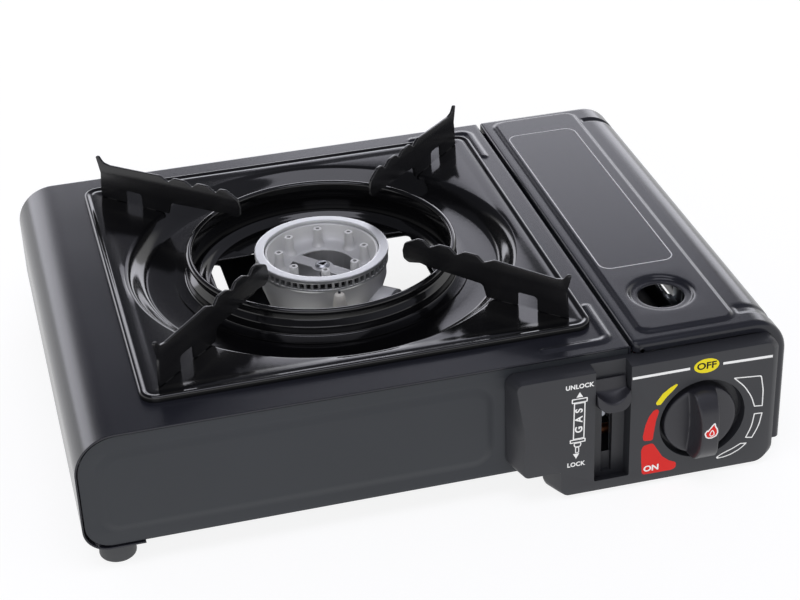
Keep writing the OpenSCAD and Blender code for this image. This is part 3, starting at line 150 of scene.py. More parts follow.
# ---------------------------------------------------------------------------
# Bay floor and partition: the floor under the cartridge is 0.8 mm sheet
# steel, punched, folded and sprayed dark grey. The partition between the
# burner and the cartridge is bare zinc-plated sheet.
# ---------------------------------------------------------------------------
def finish(name, dark, light, roughness, grain, depth, metallic=0.0, ior=1.5, stretch=(1, 1, 1), patch=60):
    """A material with two close tones in soft patches, its roughness 14% up and down with them, and a
    fine grain in relief; grain, depth and patch in millimetres."""
    material, tree, out = new_material(name)
    where = add(tree, "ShaderNodeTexCoord").outputs["Object"]
    along = add(tree, "ShaderNodeMapping", Vector=where, Scale=stretch).outputs[0]
    fine = add(tree, "ShaderNodeTexNoise", Vector=along, Scale=1000 / grain)
    cloud = add(tree, "ShaderNodeTexNoise", Vector=along, Scale=1000 / patch, Detail=5.0)
    tone = add(
        tree, "ShaderNodeMix", {"data_type": "RGBA"}, _0=cloud.outputs[0], _6=linear(dark), _7=linear(light)
    )
    gloss = add(tree, "ShaderNodeMapRange", Value=cloud.outputs[0], _3=roughness * 0.86, _4=roughness * 1.14)
    bump = add(tree, "ShaderNodeBump", Height=fine.outputs[0], Strength=0.6, Distance=depth / 1000)
    shader = add(
        tree, "ShaderNodeBsdfPrincipled", Base_Color=tone.outputs[2], Roughness=gloss.outputs[0],
        Normal=bump.outputs[0], IOR=ior, Metallic=metallic,
    )
    tree.links.new(shader.outputs[0], out.inputs[0])
    return material


def finish_piece(name, mesh, body, nodes, material, modifiers=(), smooth=35):
    """Makes a mesh into a finished piece: modifiers applied, shading, body and nodes it stands for."""
    piece = bpy.data.objects.new(name, mesh)
    bpy.context.scene.collection.objects.link(piece)
    for kind, settings in modifiers:
        modifier = piece.modifiers.new(kind.lower(), kind)
        for key, value in settings.items():
            setattr(modifier, key, value)
    if modifiers:
        bpy.context.view_layer.update()
        evaluated = piece.evaluated_get(bpy.context.evaluated_depsgraph_get())
        flat = bpy.data.meshes.new_from_object(evaluated)
        piece.modifiers.clear()
        piece.data = flat
    piece.data.materials.clear()
    piece.data.materials.append(material)
    piece.data.polygons.foreach_set("material_index", [0] * len(piece.data.polygons))
    piece.data.shade_smooth()
    piece.data.set_sharp_from_angle(angle=math.radians(smooth))
    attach(piece, body)
    if nodes:
        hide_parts(*nodes)
    return piece


def rounded_edges(width, steps, angle):
    """A modifier that rounds edges sharper than an angle in degrees, over a width in millimetres."""
    return ("BEVEL", {
        "width": width / 1000, "segments": steps, "limit_method": "ANGLE", "angle_limit": math.radians(angle),
    })


def eased(node, body, material, edge=0.25, extra=()):
    """The node's own shape, its sharp edges rounded over by edge millimetres, with any extra meshes."""
    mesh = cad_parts[node].data.copy()
    work = bmesh.new()
    work.from_mesh(mesh)
    for more in extra:
        work.from_mesh(more)
    bmesh.ops.remove_doubles(work, verts=work.verts, dist=2e-6)
    bmesh.ops.dissolve_limit(work, angle_limit=math.radians(0.5), verts=work.verts, edges=work.edges)
    work.to_mesh(mesh)
    work.free()
    edges = rounded_edges(edge, 2, 40)
    return finish_piece(node + "_finished", mesh, body, [node], material, [edges], smooth=40)


# Satin paint: broad soft highlights and no mirror image.
grey_paint = finish("satin dark grey paint", "#2a2d31", "#303338", 0.42, 0.35, 0.03, ior=1.42)
# Zinc plating: a dull metal sheen, drawn out along the way the sheet was rolled.
zinc_sheet = finish(
    "zinc-plated sheet steel", "#8e9298", "#a3a7ad", 0.34, 0.5, 0.02, metallic=1.0,
    stretch=(1, 6, 6), patch=14,
)
eased("bay_floor", "stove", grey_paint)
eased("partition", "stove", zinc_sheet)


# ---------------------------------------------------------------------------
# Feet: two tall rubber feet on the left, two thin pads under the bay, each
# held by one pan-head screw sunk in its bore.
# ---------------------------------------------------------------------------
def millimetre_mesh(name, points, faces, place=None):
    """A closed-up mesh from points in millimetres, turned and moved by place, faces outwards."""
    mesh = bpy.data.meshes.new(name)
    mesh.from_pydata([tuple(p) for p in points], [], faces)
    work = bmesh.new()
    work.from_mesh(mesh)
    bmesh.ops.remove_doubles(work, verts=work.verts, dist=1e-4)
    bmesh.ops.recalc_face_normals(work, faces=work.faces)
    work.to_mesh(mesh)
    work.free()
    mesh.transform(Matrix.Scale(0.001, 4) @ (place or Matrix()))
    return mesh


def loft(rings, closed=True, first_cap=False, last_cap=False):
    """Points and faces of a skin through rings with equal numbers of points."""
    count = len(rings[0])
    points = [p for ring in rings for p in ring]
    faces = []
    for j in range(len(rings) - 1):
        for i in range(count if closed else count - 1):
            k = (i + 1) % count
            faces.append((j * count + i, j * count + k, (j + 1) * count + k, (j + 1) * count + i))
    if first_cap:
        faces.append(tuple(range(count - 1, -1, -1)))
    if last_cap:
        faces.append(tuple(range(len(points) - count, len(points))))
    return points, faces


def turned(profile, steps=96, x=0.0, y=0.0):
    """Points and faces of a closed profile of (radius, height) turned about the Z axis."""
    angles = [a * math.tau / steps for a in range(steps)]
    rings = []
    for r, z in profile + profile[:1]:
        rings.append([(x + r * math.cos(a), y + r * math.sin(a), z) for a in angles])
    return loft(rings)


def arc(cx, cy, r, start, end, steps):
    """Points on a circle's arc, from one angle in degrees to another."""
    angles = [math.radians(start + (end - start) * i / steps) for i in range(steps + 1)]
    return [(cx + r * math.cos(a), cy + r * math.sin(a)) for a in angles]


# Rubber: a flat dark grey that takes the light evenly, without a highlight.
rubber = finish("moulded rubber", "#38393b", "#434446", 0.62, 0.4, 0.05, ior=1.52)
foot_r, foot_h, pad_r, pad_h = 8.7, 12.0, 6.7, 2.6
bore_r, hole_r, foot_seat, pad_seat = 3.3, 1.7, foot_h - 1.5, 1.9
left_feet = {"foot_front_left": (-154.4, -100.0), "foot_rear_left": (-154.4, 124.0)}
right_pads = {"foot_front_right": (150.0, -100.0), "foot_rear_right": (150.0, 124.0)}
foot_profile = [(bore_r, 0.0)] + arc(foot_r - 1.6, 1.6, 1.6, -90, -4, 5) + [(foot_r - 0.15, 6.0)]
foot_profile += arc(foot_r - 0.6, foot_h - 0.6, 0.6, 0, 90, 3)
foot_profile += [(hole_r, foot_h), (hole_r, foot_seat), (bore_r, foot_seat)]
pad_profile = [(bore_r, 0.0)] + arc(pad_r - 0.6, 0.6, 0.6, -90, 0, 3)
pad_profile += [(pad_r, pad_h), (hole_r, pad_h), (hole_r, pad_seat), (bore_r, pad_seat)]
for places, profile in ((left_feet, foot_profile), (right_pads, pad_profile)):
    for node, (x, y) in places.items():
        points, faces = turned(profile, 64, x, y)
        finish_piece(node + "_moulding", millimetre_mesh(node, points, faces), "stove", [node], rubber)


def new_tree(name, inputs):
    """A geometry node tree with a mesh in and out and named inputs, and the inputs' identifiers."""
    tree = bpy.data.node_groups.new(name, "GeometryNodeTree")
    tree.interface.new_socket("Geometry", in_out="INPUT", socket_type="NodeSocketGeometry")
    keys = {}
    for label, kind in inputs.items():
        keys[label] = tree.interface.new_socket(label, in_out="INPUT", socket_type=kind).identifier
    tree.interface.new_socket("Geometry", in_out="OUTPUT", socket_type="NodeSocketGeometry")
    return tree, keys, tree.nodes.new("NodeGroupInput").outputs, tree.nodes.new("NodeGroupOutput").inputs


def grown(name, base, tree, keys, **values):
    """The plain mesh that a node tree makes of a base mesh, with its inputs set by name."""
    holder = bpy.data.objects.new(name, base)
    bpy.context.scene.collection.objects.link(holder)
    modifier = holder.modifiers.new("growth", "NODES")
    modifier.node_group = tree
    for label, value in values.items():
        modifier[keys[label.replace("_", " ")]] = value
    bpy.context.view_layer.update()
    mesh = bpy.data.meshes.new_from_object(holder.evaluated_get(bpy.context.evaluated_depsgraph_get()))
    bpy.data.objects.remove(holder)
    mesh.name = name
    return mesh


def times(tree, value, factor):
    """A socket's value times a number."""
    return add(tree, "ShaderNodeMath", {"operation": "MULTIPLY"}, _0=value, _1=factor).outputs[0]


def lifted(tree, shape, value, factor):
    """A shape moved up by a socket's value times a number."""
    up = add(tree, "ShaderNodeCombineXYZ", Z=times(tree, value, factor)).outputs[0]
    return add(tree, "GeometryNodeTransform", Geometry=shape, Translation=up).outputs[0]


def end_in_copies(tree, points, shape, turn):
    """Ends a node tree: real copies of a shape on points, turned and given their finish."""
    rotation = add(tree, "FunctionNodeEulerToRotation", _0=turn).outputs[0]
    copies = add(tree, "GeometryNodeInstanceOnPoints", Points=points, Instance=shape, Rotation=rotation)
    real = add(tree, "GeometryNodeRealizeInstances", Geometry=copies.outputs[0])
    coated = add(tree, "GeometryNodeSetMaterial", Geometry=real.outputs[0], Material=given["Finish"])
    tree.links.new(coated.outputs[0], grown_out[0])


length = "NodeSocketFloat"
screw_tree, screw_keys, given, grown_out = new_tree(
    "pan-head screws",
    {"Head Radius": length, "Head Height": length, "Shank Radius": length, "Shank Length": length,
     "Finish": "NodeSocketMaterial"},
)
head_r, head_h = given["Head Radius"], given["Head Height"]
crown = add(screw_tree, "GeometryNodeMeshCone", Vertices=40, Radius_Top=head_r,
            Radius_Bottom=times(screw_tree, head_r, 0.72), Depth=times(screw_tree, head_h, 0.45))
skirt = add(screw_tree, "GeometryNodeMeshCylinder", Vertices=40, Radius=head_r,
            Depth=times(screw_tree, head_h, 0.55))
cross = add(screw_tree, "GeometryNodeJoinGeometry")
for wide, deep in ((1.15, 0.24), (0.24, 1.15)):
    size = add(screw_tree, "ShaderNodeCombineXYZ", X=times(screw_tree, head_r, wide),
               Y=times(screw_tree, head_r, deep), Z=times(screw_tree, head_h, 1.1))
    cube = add(screw_tree, "GeometryNodeMeshCube", Size=size.outputs[0])
    screw_tree.links.new(lifted(screw_tree, cube.outputs[0], head_h, -1.0), cross.inputs[0])
head = add(screw_tree, "GeometryNodeMeshBoolean", {"operation": "UNION"})
screw_tree.links.new(lifted(screw_tree, crown.outputs[0], head_h, -1.0), head.inputs[1])
screw_tree.links.new(lifted(screw_tree, skirt.outputs[0], head_h, -0.275), head.inputs[1])
cut = add(screw_tree, "GeometryNodeMeshBoolean", {"operation": "DIFFERENCE"},
          _0=head.outputs[0], _1=cross.outputs[0])
shank = add(screw_tree, "GeometryNodeMeshCylinder", Vertices=24, Radius=given["Shank Radius"],
            Depth=given["Shank Length"])
shank_up = lifted(screw_tree, shank.outputs["Mesh"], given["Shank Length"], 0.499)
screw = add(screw_tree, "GeometryNodeJoinGeometry")
screw_tree.links.new(cut.outputs[0], screw.inputs[0])
screw_tree.links.new(shank_up, screw.inputs[0])
turn = add(screw_tree, "GeometryNodeInputNamedAttribute", {"data_type": "FLOAT_VECTOR"}, Name="turn")
end_in_copies(screw_tree, given["Geometry"], screw.outputs[0], turn.outputs[0])

# Nickel plating: small bright points of light on the screw heads.
plated_steel = finish("nickel-plated screw steel", "#a4a6a9", "#b9bbbe", 0.27, 0.3, 0.01, metallic=1.0, patch=5)
shank_r = 1.5


def screws(node, places, shank, size=(3.0, 1.4)):
    """One node's screws: places are points in millimetres with the way the shank points."""
    base = bpy.data.meshes.new(node + "_places")
    base.from_pydata([tuple(c / 1000 for c in point) for point, way in places], [], [])
    turns = base.attributes.new("turn", "FLOAT_VECTOR", "POINT")
    for item, (point, way) in zip(turns.data, places):
        item.vector = Vector(way).to_track_quat("Z", "Y").to_euler()
    mesh = grown(node, base, screw_tree, screw_keys, Head_Radius=size[0] / 1000, Head_Height=size[1] / 1000,
                 Shank_Radius=shank_r / 1000, Shank_Length=shank / 1000, Finish=plated_steel)
    return finish_piece(node + "_plated", mesh, "stove", [node], plated_steel, smooth=30)


foot_places = [((x, y, foot_seat), (0, 0, 1)) for x, y in left_feet.values()]
foot_places += [((x, y, pad_seat), (0, 0, 1)) for x, y in right_pads.values()]
screws("foot_screws", foot_places, 2.0)


# ---------------------------------------------------------------------------
# Body shell: one sheet of 0.8 mm steel, rolled over the left shoulder and
# turned in under the body, with two pressed corner beads and a round opening
# for the tray. Sprayed satin charcoal.
# ---------------------------------------------------------------------------
def ease(t):
    """Smooth step from 0 to 1."""
    t = min(1.0, max(0.0, t))
    return t * t * (3 - 2 * t)


def spaced(start, end, step):
    """Even values from start to end, no further apart than step."""
    count = max(1, math.ceil(abs(end - start) / step))
    return [start + (end - start) * i / count for i in range(count + 1)]


def cutter(name, points, faces):
    """A hidden solid that cuts another piece; the caller removes it."""
    solid = bpy.data.objects.new(name, millimetre_mesh(name, points, faces))
    bpy.context.scene.collection.objects.link(solid)
    return solid


def cut_by(solid):
    """A modifier that cuts a hidden solid out of a piece."""
    return ("BOOLEAN", {"operation": "DIFFERENCE", "object": solid, "solver": "EXACT"})


# Sleeker than the grey of the panels: long soft streaks of light where the sheet rolls over.
charcoal_paint = finish("satin charcoal paint", "#1f2026", "#26272e", 0.21, 0.7, 0.02, ior=1.46)

sheet = 0.8
thickened = ("SOLIDIFY", {"thickness": sheet / 1000, "offset": -1})
shell_front, shell_back, shell_right, shell_left = -113.0, 137.0, 91.0, -170.0
top_z, shell_low = 73.5, 12.0
shoulder_r, heel_r, opening_r = 20.0, 12.0, 99.0
tray_x, tray_y = -27.6, 14.0
top_xs = spaced(88.2, 79.8, 0.7) + spaced(79, 58, 4) + spaced(56, 48, 0.8)
top_xs += spaced(46, shell_left + shoulder_r + 1, 12)
section = [(shell_right, top_z - 5.8), (shell_right, top_z - 1.6)]
section += arc(shell_right - 1.2, top_z - 1.2, 1.2, 0, 90, 4) + [(x, top_z) for x in top_xs]
section += arc(shell_left + shoulder_r, top_z - shoulder_r, shoulder_r, 90, 180, 20)
section += [(shell_left, z) for z in spaced(top_z - shoulder_r - 1, shell_low + heel_r + 1, 5)]
section += arc(shell_left + heel_r, shell_low + heel_r, heel_r, 180, 270, 14) + [(shell_left + 28, shell_low)]
rows = [shell_front] + spaced(-112.4, -109, 0.9) + spaced(-108.2, -99.8, 0.7) + spaced(-98, -78, 4)
rows += spaced(-76, -68, 0.8) + spaced(-66, 92, 8) + spaced(94, 102, 0.8) + spaced(104, 122, 4)
rows += spaced(123.8, 132.2, 0.7) + spaced(133, 136.4, 0.9) + [shell_back]
bead_x, bead_turn, bead_leg, bead_rise = 83.0, 5.0, 32.0, 0.8


def bead_height(x, y):
    """Height of the two L-shaped corner beads at a point of the top plate."""
    far = best = 9.0
    for corner_y, leg in ((-105.0, 1), (129.0, -1)):
        cx, cy = bead_x - bead_turn, corner_y + leg * bead_turn
        along_x = math.hypot(x - min(cx, max(bead_x - bead_leg, x)), y - corner_y)
        low, high = sorted((cy, corner_y + leg * bead_leg))
        along_y = math.hypot(x - bead_x, y - min(high, max(low, y)))
        bend = abs(math.hypot(x - cx, y - cy) - bead_turn) if x > cx and (y - cy) * leg < 0 else far
        best = min(best, along_x, along_y, bend)
    return bead_rise * ease(1.25 - best / 2.3)


rings = [[(x, y, z + (bead_height(x, y) if z == top_z else 0.0)) for x, z in section] for y in rows]
points, faces = loft(rings, closed=False)
opening_core = [(0, 66), (opening_r, 66), (opening_r, 80), (0, 80)]
opening = cutter("tray_opening", *turned(opening_core, 96, tray_x, tray_y))
finish_piece(
    "shell_sheet", millimetre_mesh("shell_sheet", points, faces), "stove", ["body_shell"], charcoal_paint,
    [thickened, cut_by(opening), rounded_edges(0.2, 2, 50)],
)
bpy.data.objects.remove(opening)


# ---------------------------------------------------------------------------
# Front and rear panels: 0.8 mm sheet, sprayed a cooler dark grey. The front
# one is pressed with a raised field and soft shoulders; the rear one is flat,
# with vent slots behind the burner and behind the bay.
# ---------------------------------------------------------------------------
def rounded(corners, radius, steps=5):
    """A closed outline with round corners; a corner is (u, v) or (u, v, its own radius)."""
    outline = []
    for i, corner in enumerate(corners):
        here = Vector(corner[:2])
        back, ahead = Vector(corners[i - 1][:2]) - here, Vector(corners[(i + 1) % len(corners)][:2]) - here
        half = back.angle(ahead) / 2
        r = corner[2] if len(corner) > 2 else radius
        if r == 0:
            outline.append(tuple(here))
            continue
        if half > math.radians(88):
            spread = min(r, 0.45 * back.length, 0.45 * ahead.length)
            first, last = here + back.normalized() * spread, here + ahead.normalized() * spread
            outline += [tuple(first.lerp(last, k / steps)) for k in range(steps + 1)]
            continue
        cut = min(r / math.tan(half), 0.48 * back.length, 0.48 * ahead.length)
        r = cut * math.tan(half)
        centre = here + (back.normalized() + ahead.normalized()).normalized() * (r / math.sin(half))
        first, last = here + back.normalized() * cut - centre, here + ahead.normalized() * cut - centre
        start = math.atan2(first.y, first.x)
        sweep = (math.atan2(last.y, last.x) - start + math.pi) % math.tau - math.pi
        angles = [start + sweep * k / steps for k in range(steps + 1)]
        outline += [(centre.x + r * math.cos(a), centre.y + r * math.sin(a)) for a in angles]
    return outline


def corners_of(left, right, low, high):
    """A rectangle's corners, counter-clockwise from the lower left."""
    return [(left, low), (right, low), (right, high), (left, high)]


def plate(name, loops, thickness, edge, place):
    """A flat plate between closed outlines in millimetres, edges rounded, centred on its own plane."""
    curve = bpy.data.curves.new(name, "CURVE")
    curve.dimensions = "2D"
    curve.fill_mode = "BOTH"
    curve.extrude = thickness / 2 - edge
    curve.bevel_depth = edge
    curve.bevel_resolution = 2
    curve.offset = -edge
    for loop in loops:
        spline = curve.splines.new("POLY")
        spline.points.add(len(loop) - 1)
        for point, (u, v) in zip(spline.points, loop):
            point.co = (u, v, 0, 1)
        spline.use_cyclic_u = True
    return solid_of(name, curve, place)


def solid_of(name, curve, place):
    """The closed mesh of a curve or lettering, moved to its place."""
    holder = bpy.data.objects.new(name, curve)
    bpy.context.scene.collection.objects.link(holder)
    bpy.context.view_layer.update()
    mesh = bpy.data.meshes.new_from_object(holder.evaluated_get(bpy.context.evaluated_depsgraph_get()))
    bpy.data.objects.remove(holder)
    work = bmesh.new()
    work.from_mesh(mesh)
    bmesh.ops.remove_doubles(work, verts=work.verts, dist=1e-4)
    bmesh.ops.recalc_face_normals(work, faces=work.faces)
    work.to_mesh(mesh)
    work.free()
    mesh.transform(Matrix.Scale(0.001, 4) @ place)
    return mesh


def facing_front(x, y, z):
    """Stands a drawing upright, its face towards the front, with its origin at a point."""
    return Matrix.Translation((x, y, z)) @ Matrix.Rotation(math.pi / 2, 4, "X")


def joined(name, meshes):
    """Several meshes as one."""
    work = bmesh.new()
    for mesh in meshes:
        work.from_mesh(mesh)
    whole = bpy.data.meshes.new(name)
    work.to_mesh(whole)
    work.free()
    return whole


def field_rings(left, right, low, high, radii, rise, width):
    """Rings of a raised field from its foot up to its crown, in drawing coordinates."""
    rings = []
    for i in range(9):
        t = i / 8
        inset = width * t
        corners = [(left + inset, low + inset, radii[0]), (right - inset, low + inset, radii[1]),
                   (right - inset, high - inset, radii[1]), (left + inset, high - inset, radii[2])]
        corners = [(u, v, max(1.5, r - inset)) for u, v, r in corners]
        rings.append([(u, v, rise * ease(t)) for u, v in rounded(corners, 4, 10)])
    return rings


panel_left, panel_high, panel_low = -168.6, 72.1, 13.7
panel_mid, panel_face = -112.0, -112.4
knob_x, knob_z, stem_hole_r = 123.3, 32.4, 7
slot_left, slot_right, slot_low, slot_high = 76.4, 81.4, 15.2, 59.2
panel_corners = [(panel_left, panel_low, 12), (87.25, panel_low, 0), (87.25, 3.4, 0.5), (160.8, 3.4, 0.5),
                 (160.8, 68, 0.5), (90.05, 68, 0.2), (90.05, panel_high, 0.2), (panel_left, panel_high, 19)]
field = (panel_left + 7.2, 24.5, panel_low + 6.5, panel_high - 7.2, (9, 11, 13))
face_rings = field_rings(*field, 0.9, 5.0)
skin = millimetre_mesh("front_field", *loft(face_rings, last_cap=True), place=facing_front(0, panel_face, 0))
# The flat sheet's hole lies a little inside the raised field, so no gap shows along its foot.
sheet_loops = [
    rounded(panel_corners, 1, 10), [p[:2] for p in face_rings[3]],
    arc(knob_x, knob_z, stem_hole_r, 0, 352.5, 47), corners_of(slot_left, slot_right, slot_low, slot_high),
]
sheet_mesh = plate("front_sheet", sheet_loops, sheet, 0.1, facing_front(0, panel_mid, 0))
front_meshes = joined("front_panel_pressing", [sheet_mesh, skin])
finish_piece("front_panel_pressing", front_meshes, "stove", ["front_panel"], grey_paint)
eased("rear_panel", "stove", grey_paint, 0.2)


# ---------------------------------------------------------------------------
# Base plate: 0.8 mm sheet steel with its right edge folded up, four punched
# windows that let air in to the burner, and holes for the left feet and the
# burner's bracket. Sprayed dark grey like the panels.
# ---------------------------------------------------------------------------
low, high = ([c * 1000 for c in corner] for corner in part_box("base_plate"))
bracket_reach = 56
# The left, right, front and rear edge of each window, measured from the burner's axis.
base_windows = ((-74, -16, -84, -22), (16, 74, -84, -22), (-74.4, -36.4, 48, 115.3), (36.4, 74.4, 48, 115.3))
base_holes = list(left_feet.values()) + [(tray_x - bracket_reach, tray_y), (tray_x + bracket_reach, tray_y)]
base_loops = [corners_of(low[0], high[0], low[1], high[1])]
for left, right, front, rear in base_windows:
    base_loops.append(rounded(corners_of(tray_x + left, tray_x + right, tray_y + front, tray_y + rear), 3))
base_loops += [arc(x, y, hole_r, 0, 345, 23) for x, y in base_holes]
sheet_flat = plate("base_sheet", base_loops, sheet, 0.15, Matrix.Translation((0, 0, low[2] + sheet / 2)))
to_right_edge = (
    Matrix.Translation((high[0] - sheet / 2, 0, 0))
    @ Matrix.Rotation(math.pi / 2, 4, "Z")
    @ Matrix.Rotation(math.pi / 2, 4, "X")
)
base_lip = plate("base_lip", [corners_of(low[1], high[1], low[2], high[2])], sheet, 0.15, to_right_edge)
base_meshes = joined("base_plate_pressing", [sheet_flat, base_lip])
finish_piece("base_plate_pressing", base_meshes, "stove", ["base_plate"], grey_paint)


# ---------------------------------------------------------------------------
# Cartridge lid: 0.8 mm steel rolled over the right shoulder, with a raised
# field, a sight hole in a round dimple and two stiffening grooves across the
# shoulder. Hung on a steel pin by three zinc-plated leaves.
# ---------------------------------------------------------------------------
lid_left, lid_right, lid_top, lid_low, lid_front, lid_back = 92.0, 170.0, 75.0, 7.0, -114.2, 136.7
lid_shoulder, edge_roll, field_rise = 18.0, 3.0, 1.2
sight_x, sight_y, sight_r, dimple_r, dimple_deep = 120.6, -75.0, 11.3, 15.5, 2.0
patch_half, patch_step = 20.0, 2.0
lid_xs = spaced(95, 100.1, 0.6) + spaced(sight_x - patch_half, sight_x + patch_half, patch_step)
lid_xs += spaced(141.4, 151.5, 0.6)


def lid_section(inset):
    """The lid's profile from its left flange over the top and down the side, moved inwards by an inset."""
    line = [(lid_left + inset, 70.0), (lid_left + inset, 72.8 - inset / 2)]
    line += arc(lid_left + 1.2 + inset, lid_top - 1.2 - inset, 1.2, 180, 90, 4)
    line += [(x, lid_top - inset) for x in lid_xs]
    line += arc(lid_right - lid_shoulder, lid_top - lid_shoulder, lid_shoulder - inset, 90, 0, 22)
    return line + [(lid_right - inset, z) for z in spaced(56, lid_low, 3.5)]


def box_depth(x, y, low, high, radius):
    """How far a point lies inside a rounded box; negative outside."""
    qx = abs(x - (low[0] + high[0]) / 2) - (high[0] - low[0]) / 2 + radius
    qy = abs(y - (low[1] + high[1]) / 2) - (high[1] - low[1]) / 2 + radius
    return radius - math.hypot(max(qx, 0), max(qy, 0)) - min(max(qx, qy), 0)


roll_angles = [math.radians(15 * i) for i in range(7)]
lid_rows = [(lid_front, 5.0), (lid_front, 4.0)]
lid_rows += [
    (lid_front + edge_roll - edge_roll * math.cos(a), edge_roll - edge_roll * math.sin(a)) for a in roll_angles
]
lid_rows += [(y, 0.0) for y in spaced(-110.4, -104.6, 0.6) + spaced(-104, -95.6, 0.7)]
lid_rows += [(y, 0.0) for y in spaced(sight_y - patch_half, sight_y + patch_half, patch_step)]
lid_rows += [(y, 0.0) for y in spaced(-50, 112, 9) + spaced(116, 124, 0.5) + spaced(124.8, 133.2, 0.6)]
lid_rows += [
    (lid_back - edge_roll + edge_roll * math.sin(a), edge_roll - edge_roll * math.cos(a)) for a in roll_angles
]
lid_rows += [(lid_back, 4.0), (lid_back, 5.0)]
# Middle, half width and depth of each groove.
grooves = ((120.0, 2.6, 1.1), (-99.5, 4.5, 0.7))
lid_field_low, lid_field_high, lid_field_turn = (97, -108), (147, 132), 7


def lid_point(x, y, z):
    """One point of the lid's outer face, with the field raised and the grooves pressed in."""
    if z > lid_top - 0.01:
        z += field_rise * ease(box_depth(x, y, lid_field_low, lid_field_high, lid_field_turn) / 2.6)
    run = ease((x - 147.5) / 3.0) * ease((z - 44.0) / 5.0)
    for middle, half, deep in grooves:
        dip = deep * run * ease(1.6 - 1.6 * abs(y - middle) / half)
        out_x, out_z = max(0.0, x - (lid_right - lid_shoulder)), max(0.0, z - (lid_top - lid_shoulder))
        size = math.hypot(out_x, out_z) or 1.0
        x, z = x - dip * out_x / size, z - dip * out_z / size
    return (x, y, z)


rings = [[lid_point(x, y, z) for x, z in lid_section(inset)] for y, inset in lid_rows]
points, faces = loft(rings, closed=False)


def inside_patch(face):
    """Whether a face lies in the square that holds the sight hole."""
    cx = sum(points[i][0] for i in face) / 4
    cy = sum(points[i][1] for i in face) / 4
    return abs(cx - sight_x) < patch_half and abs(cy - sight_y) < patch_half and points[face[0]][2] > lid_top


faces = [face for face in faces if not inside_patch(face)]
steps = [i * patch_step - patch_half for i in range(int(2 * patch_half / patch_step))]
border = [(s, -patch_half) for s in steps] + [(patch_half, s) for s in steps]
border += [(-s, patch_half) for s in steps] + [(-patch_half, -s) for s in steps]
crown = lid_top + field_rise
hole_rings = [[(sight_x + u, sight_y + v, crown) for u, v in border]]
dimple_curve = [(18, 0), (17, 0.03), (16.4, 0.16), (15.9, 0.5), (dimple_r, 1.0), (15.1, 1.5)]
dimple_curve += [(14.6, 1.84), (14, 1.97), (13, dimple_deep), (11.9, dimple_deep)]
dimple_curve += [(11.5, dimple_deep + 0.1), (sight_r, dimple_deep + 0.5)]
for r, deep in dimple_curve:
    ring = [(u * r / math.hypot(u, v), v * r / math.hypot(u, v)) for u, v in border]
    hole_rings.append([(sight_x + u, sight_y + v, crown - deep) for u, v in ring])
more_points, more_faces = loft(hole_rings)
faces += [tuple(i + len(points) for i in face) for face in more_faces]
finish_piece(
    "lid_sheet", millimetre_mesh("lid_sheet", points + more_points, faces),
    "lid", ["cartridge_lid"], charcoal_paint, [thickened],
)
# White screen ink: a flat, strong line with hardly any shine.
white_ink = finish("white screen ink", "#f0f0ee", "#f8f8f6", 0.55, 0.3, 0.004, ior=1.3, patch=12)
ink = 0.05


def box_outline(half_u, half_v, radius):
    """The outline of a rounded box around the middle of a drawing."""
    return rounded(corners_of(-half_u, half_u, -half_v, half_v), radius, 8)


frame_line = plate("lid_frame_line", [box_outline(19.5, 78.7, 6), box_outline(18.95, 78.15, 5.5)], ink, 0,
                   Matrix.Translation((119.9, 32, crown + 0.03)))
finish_piece("lid_frame_line", frame_line, "lid", [], white_ink)
eased("lid_hinge_leaves", "lid", zinc_sheet, 0.12)
eased("lid_hinge_pin", "stove", plated_steel, 0.15)


# ---------------------------------------------------------------------------
# Gas parts in the bay and under the burner: cast valve and regulator,
# pressed cover, brass inlet, jet and nuts, a copper pipe, an ABS igniter and
# its red silicone lead, on zinc-plated brackets.
# ---------------------------------------------------------------------------
# Cast aluminium: pale and grainy, lit softly from all sides.
cast_aluminium = finish("sand-cast aluminium", "#cfcfce", "#dededd", 0.6, 0.5, 0.09, metallic=0.6, patch=9)
# Brass and copper: warm metal with narrow highlights along each turned edge and pipe.
brass = finish("turned brass", "#b0904c", "#c0a05a", 0.28, 0.3, 0.01, metallic=1.0, patch=7)
copper = finish("drawn copper tube", "#b06f4c", "#c08060", 0.3, 0.4, 0.01, metallic=1.0, patch=9)
# Porcelain: warm white under a clear glaze, with one small sharp highlight.
porcelain = finish("glazed porcelain", "#dcd8cc", "#ebe8df", 0.16, 0.8, 0.01, patch=7)
# Silicone: deep red with a waxy, half-matt surface.
silicone = finish("red silicone rubber", "#8e1f1a", "#a02822", 0.5, 0.5, 0.02, ior=1.42, patch=20)
# Black ABS: plain dark plastic with a soft even shine.
black_abs = finish("black moulded ABS", "#1b1c1e", "#232427", 0.42, 0.4, 0.02, ior=1.54, patch=15)
zinc_nodes = ["burner_bracket", "electrode_clip", "regulator_bracket", "notch_guide", "lever_bracket"]
for material, edge, nodes in (
    (zinc_sheet, 0.12, zinc_nodes + ["diaphragm_cover", "mixing_tube"]),
    (cast_aluminium, 0.3, ["burner_cup", "air_collar", "valve_block", "regulator_body"]),
    (brass, 0.15, ["gas_jet", "pipe_nuts", "cartridge_inlet"]),
    (copper, 0.0, ["gas_pipe"]), (silicone, 0.0, ["ignition_lead"]), (rubber, 0.15, ["inlet_seal"]),
    (black_abs, 0.4, ["piezo_igniter"]), (plated_steel, 0.1, ["cover_screws", "lever_pin"]),
):
    for node in nodes:
        eased(node, "stove", material, edge)
eased("valve_stem", "knob", brass, 0.15)
stop_tab = [(76.7, 48), (78.3, 46), (79.2, 42.5), (78.6, 38.2), (77.4, 37.4), (76.7, 38.5)]
tab_y = -113.6
tab_mesh = plate("stop_tab", [stop_tab], sheet, 0.1, facing_front(0, tab_y, 0))
eased("lock_lever", "lever", zinc_sheet, 0.15, extra=[tab_mesh])
eased("cartridge_pusher", "pusher", zinc_sheet, 0.15)


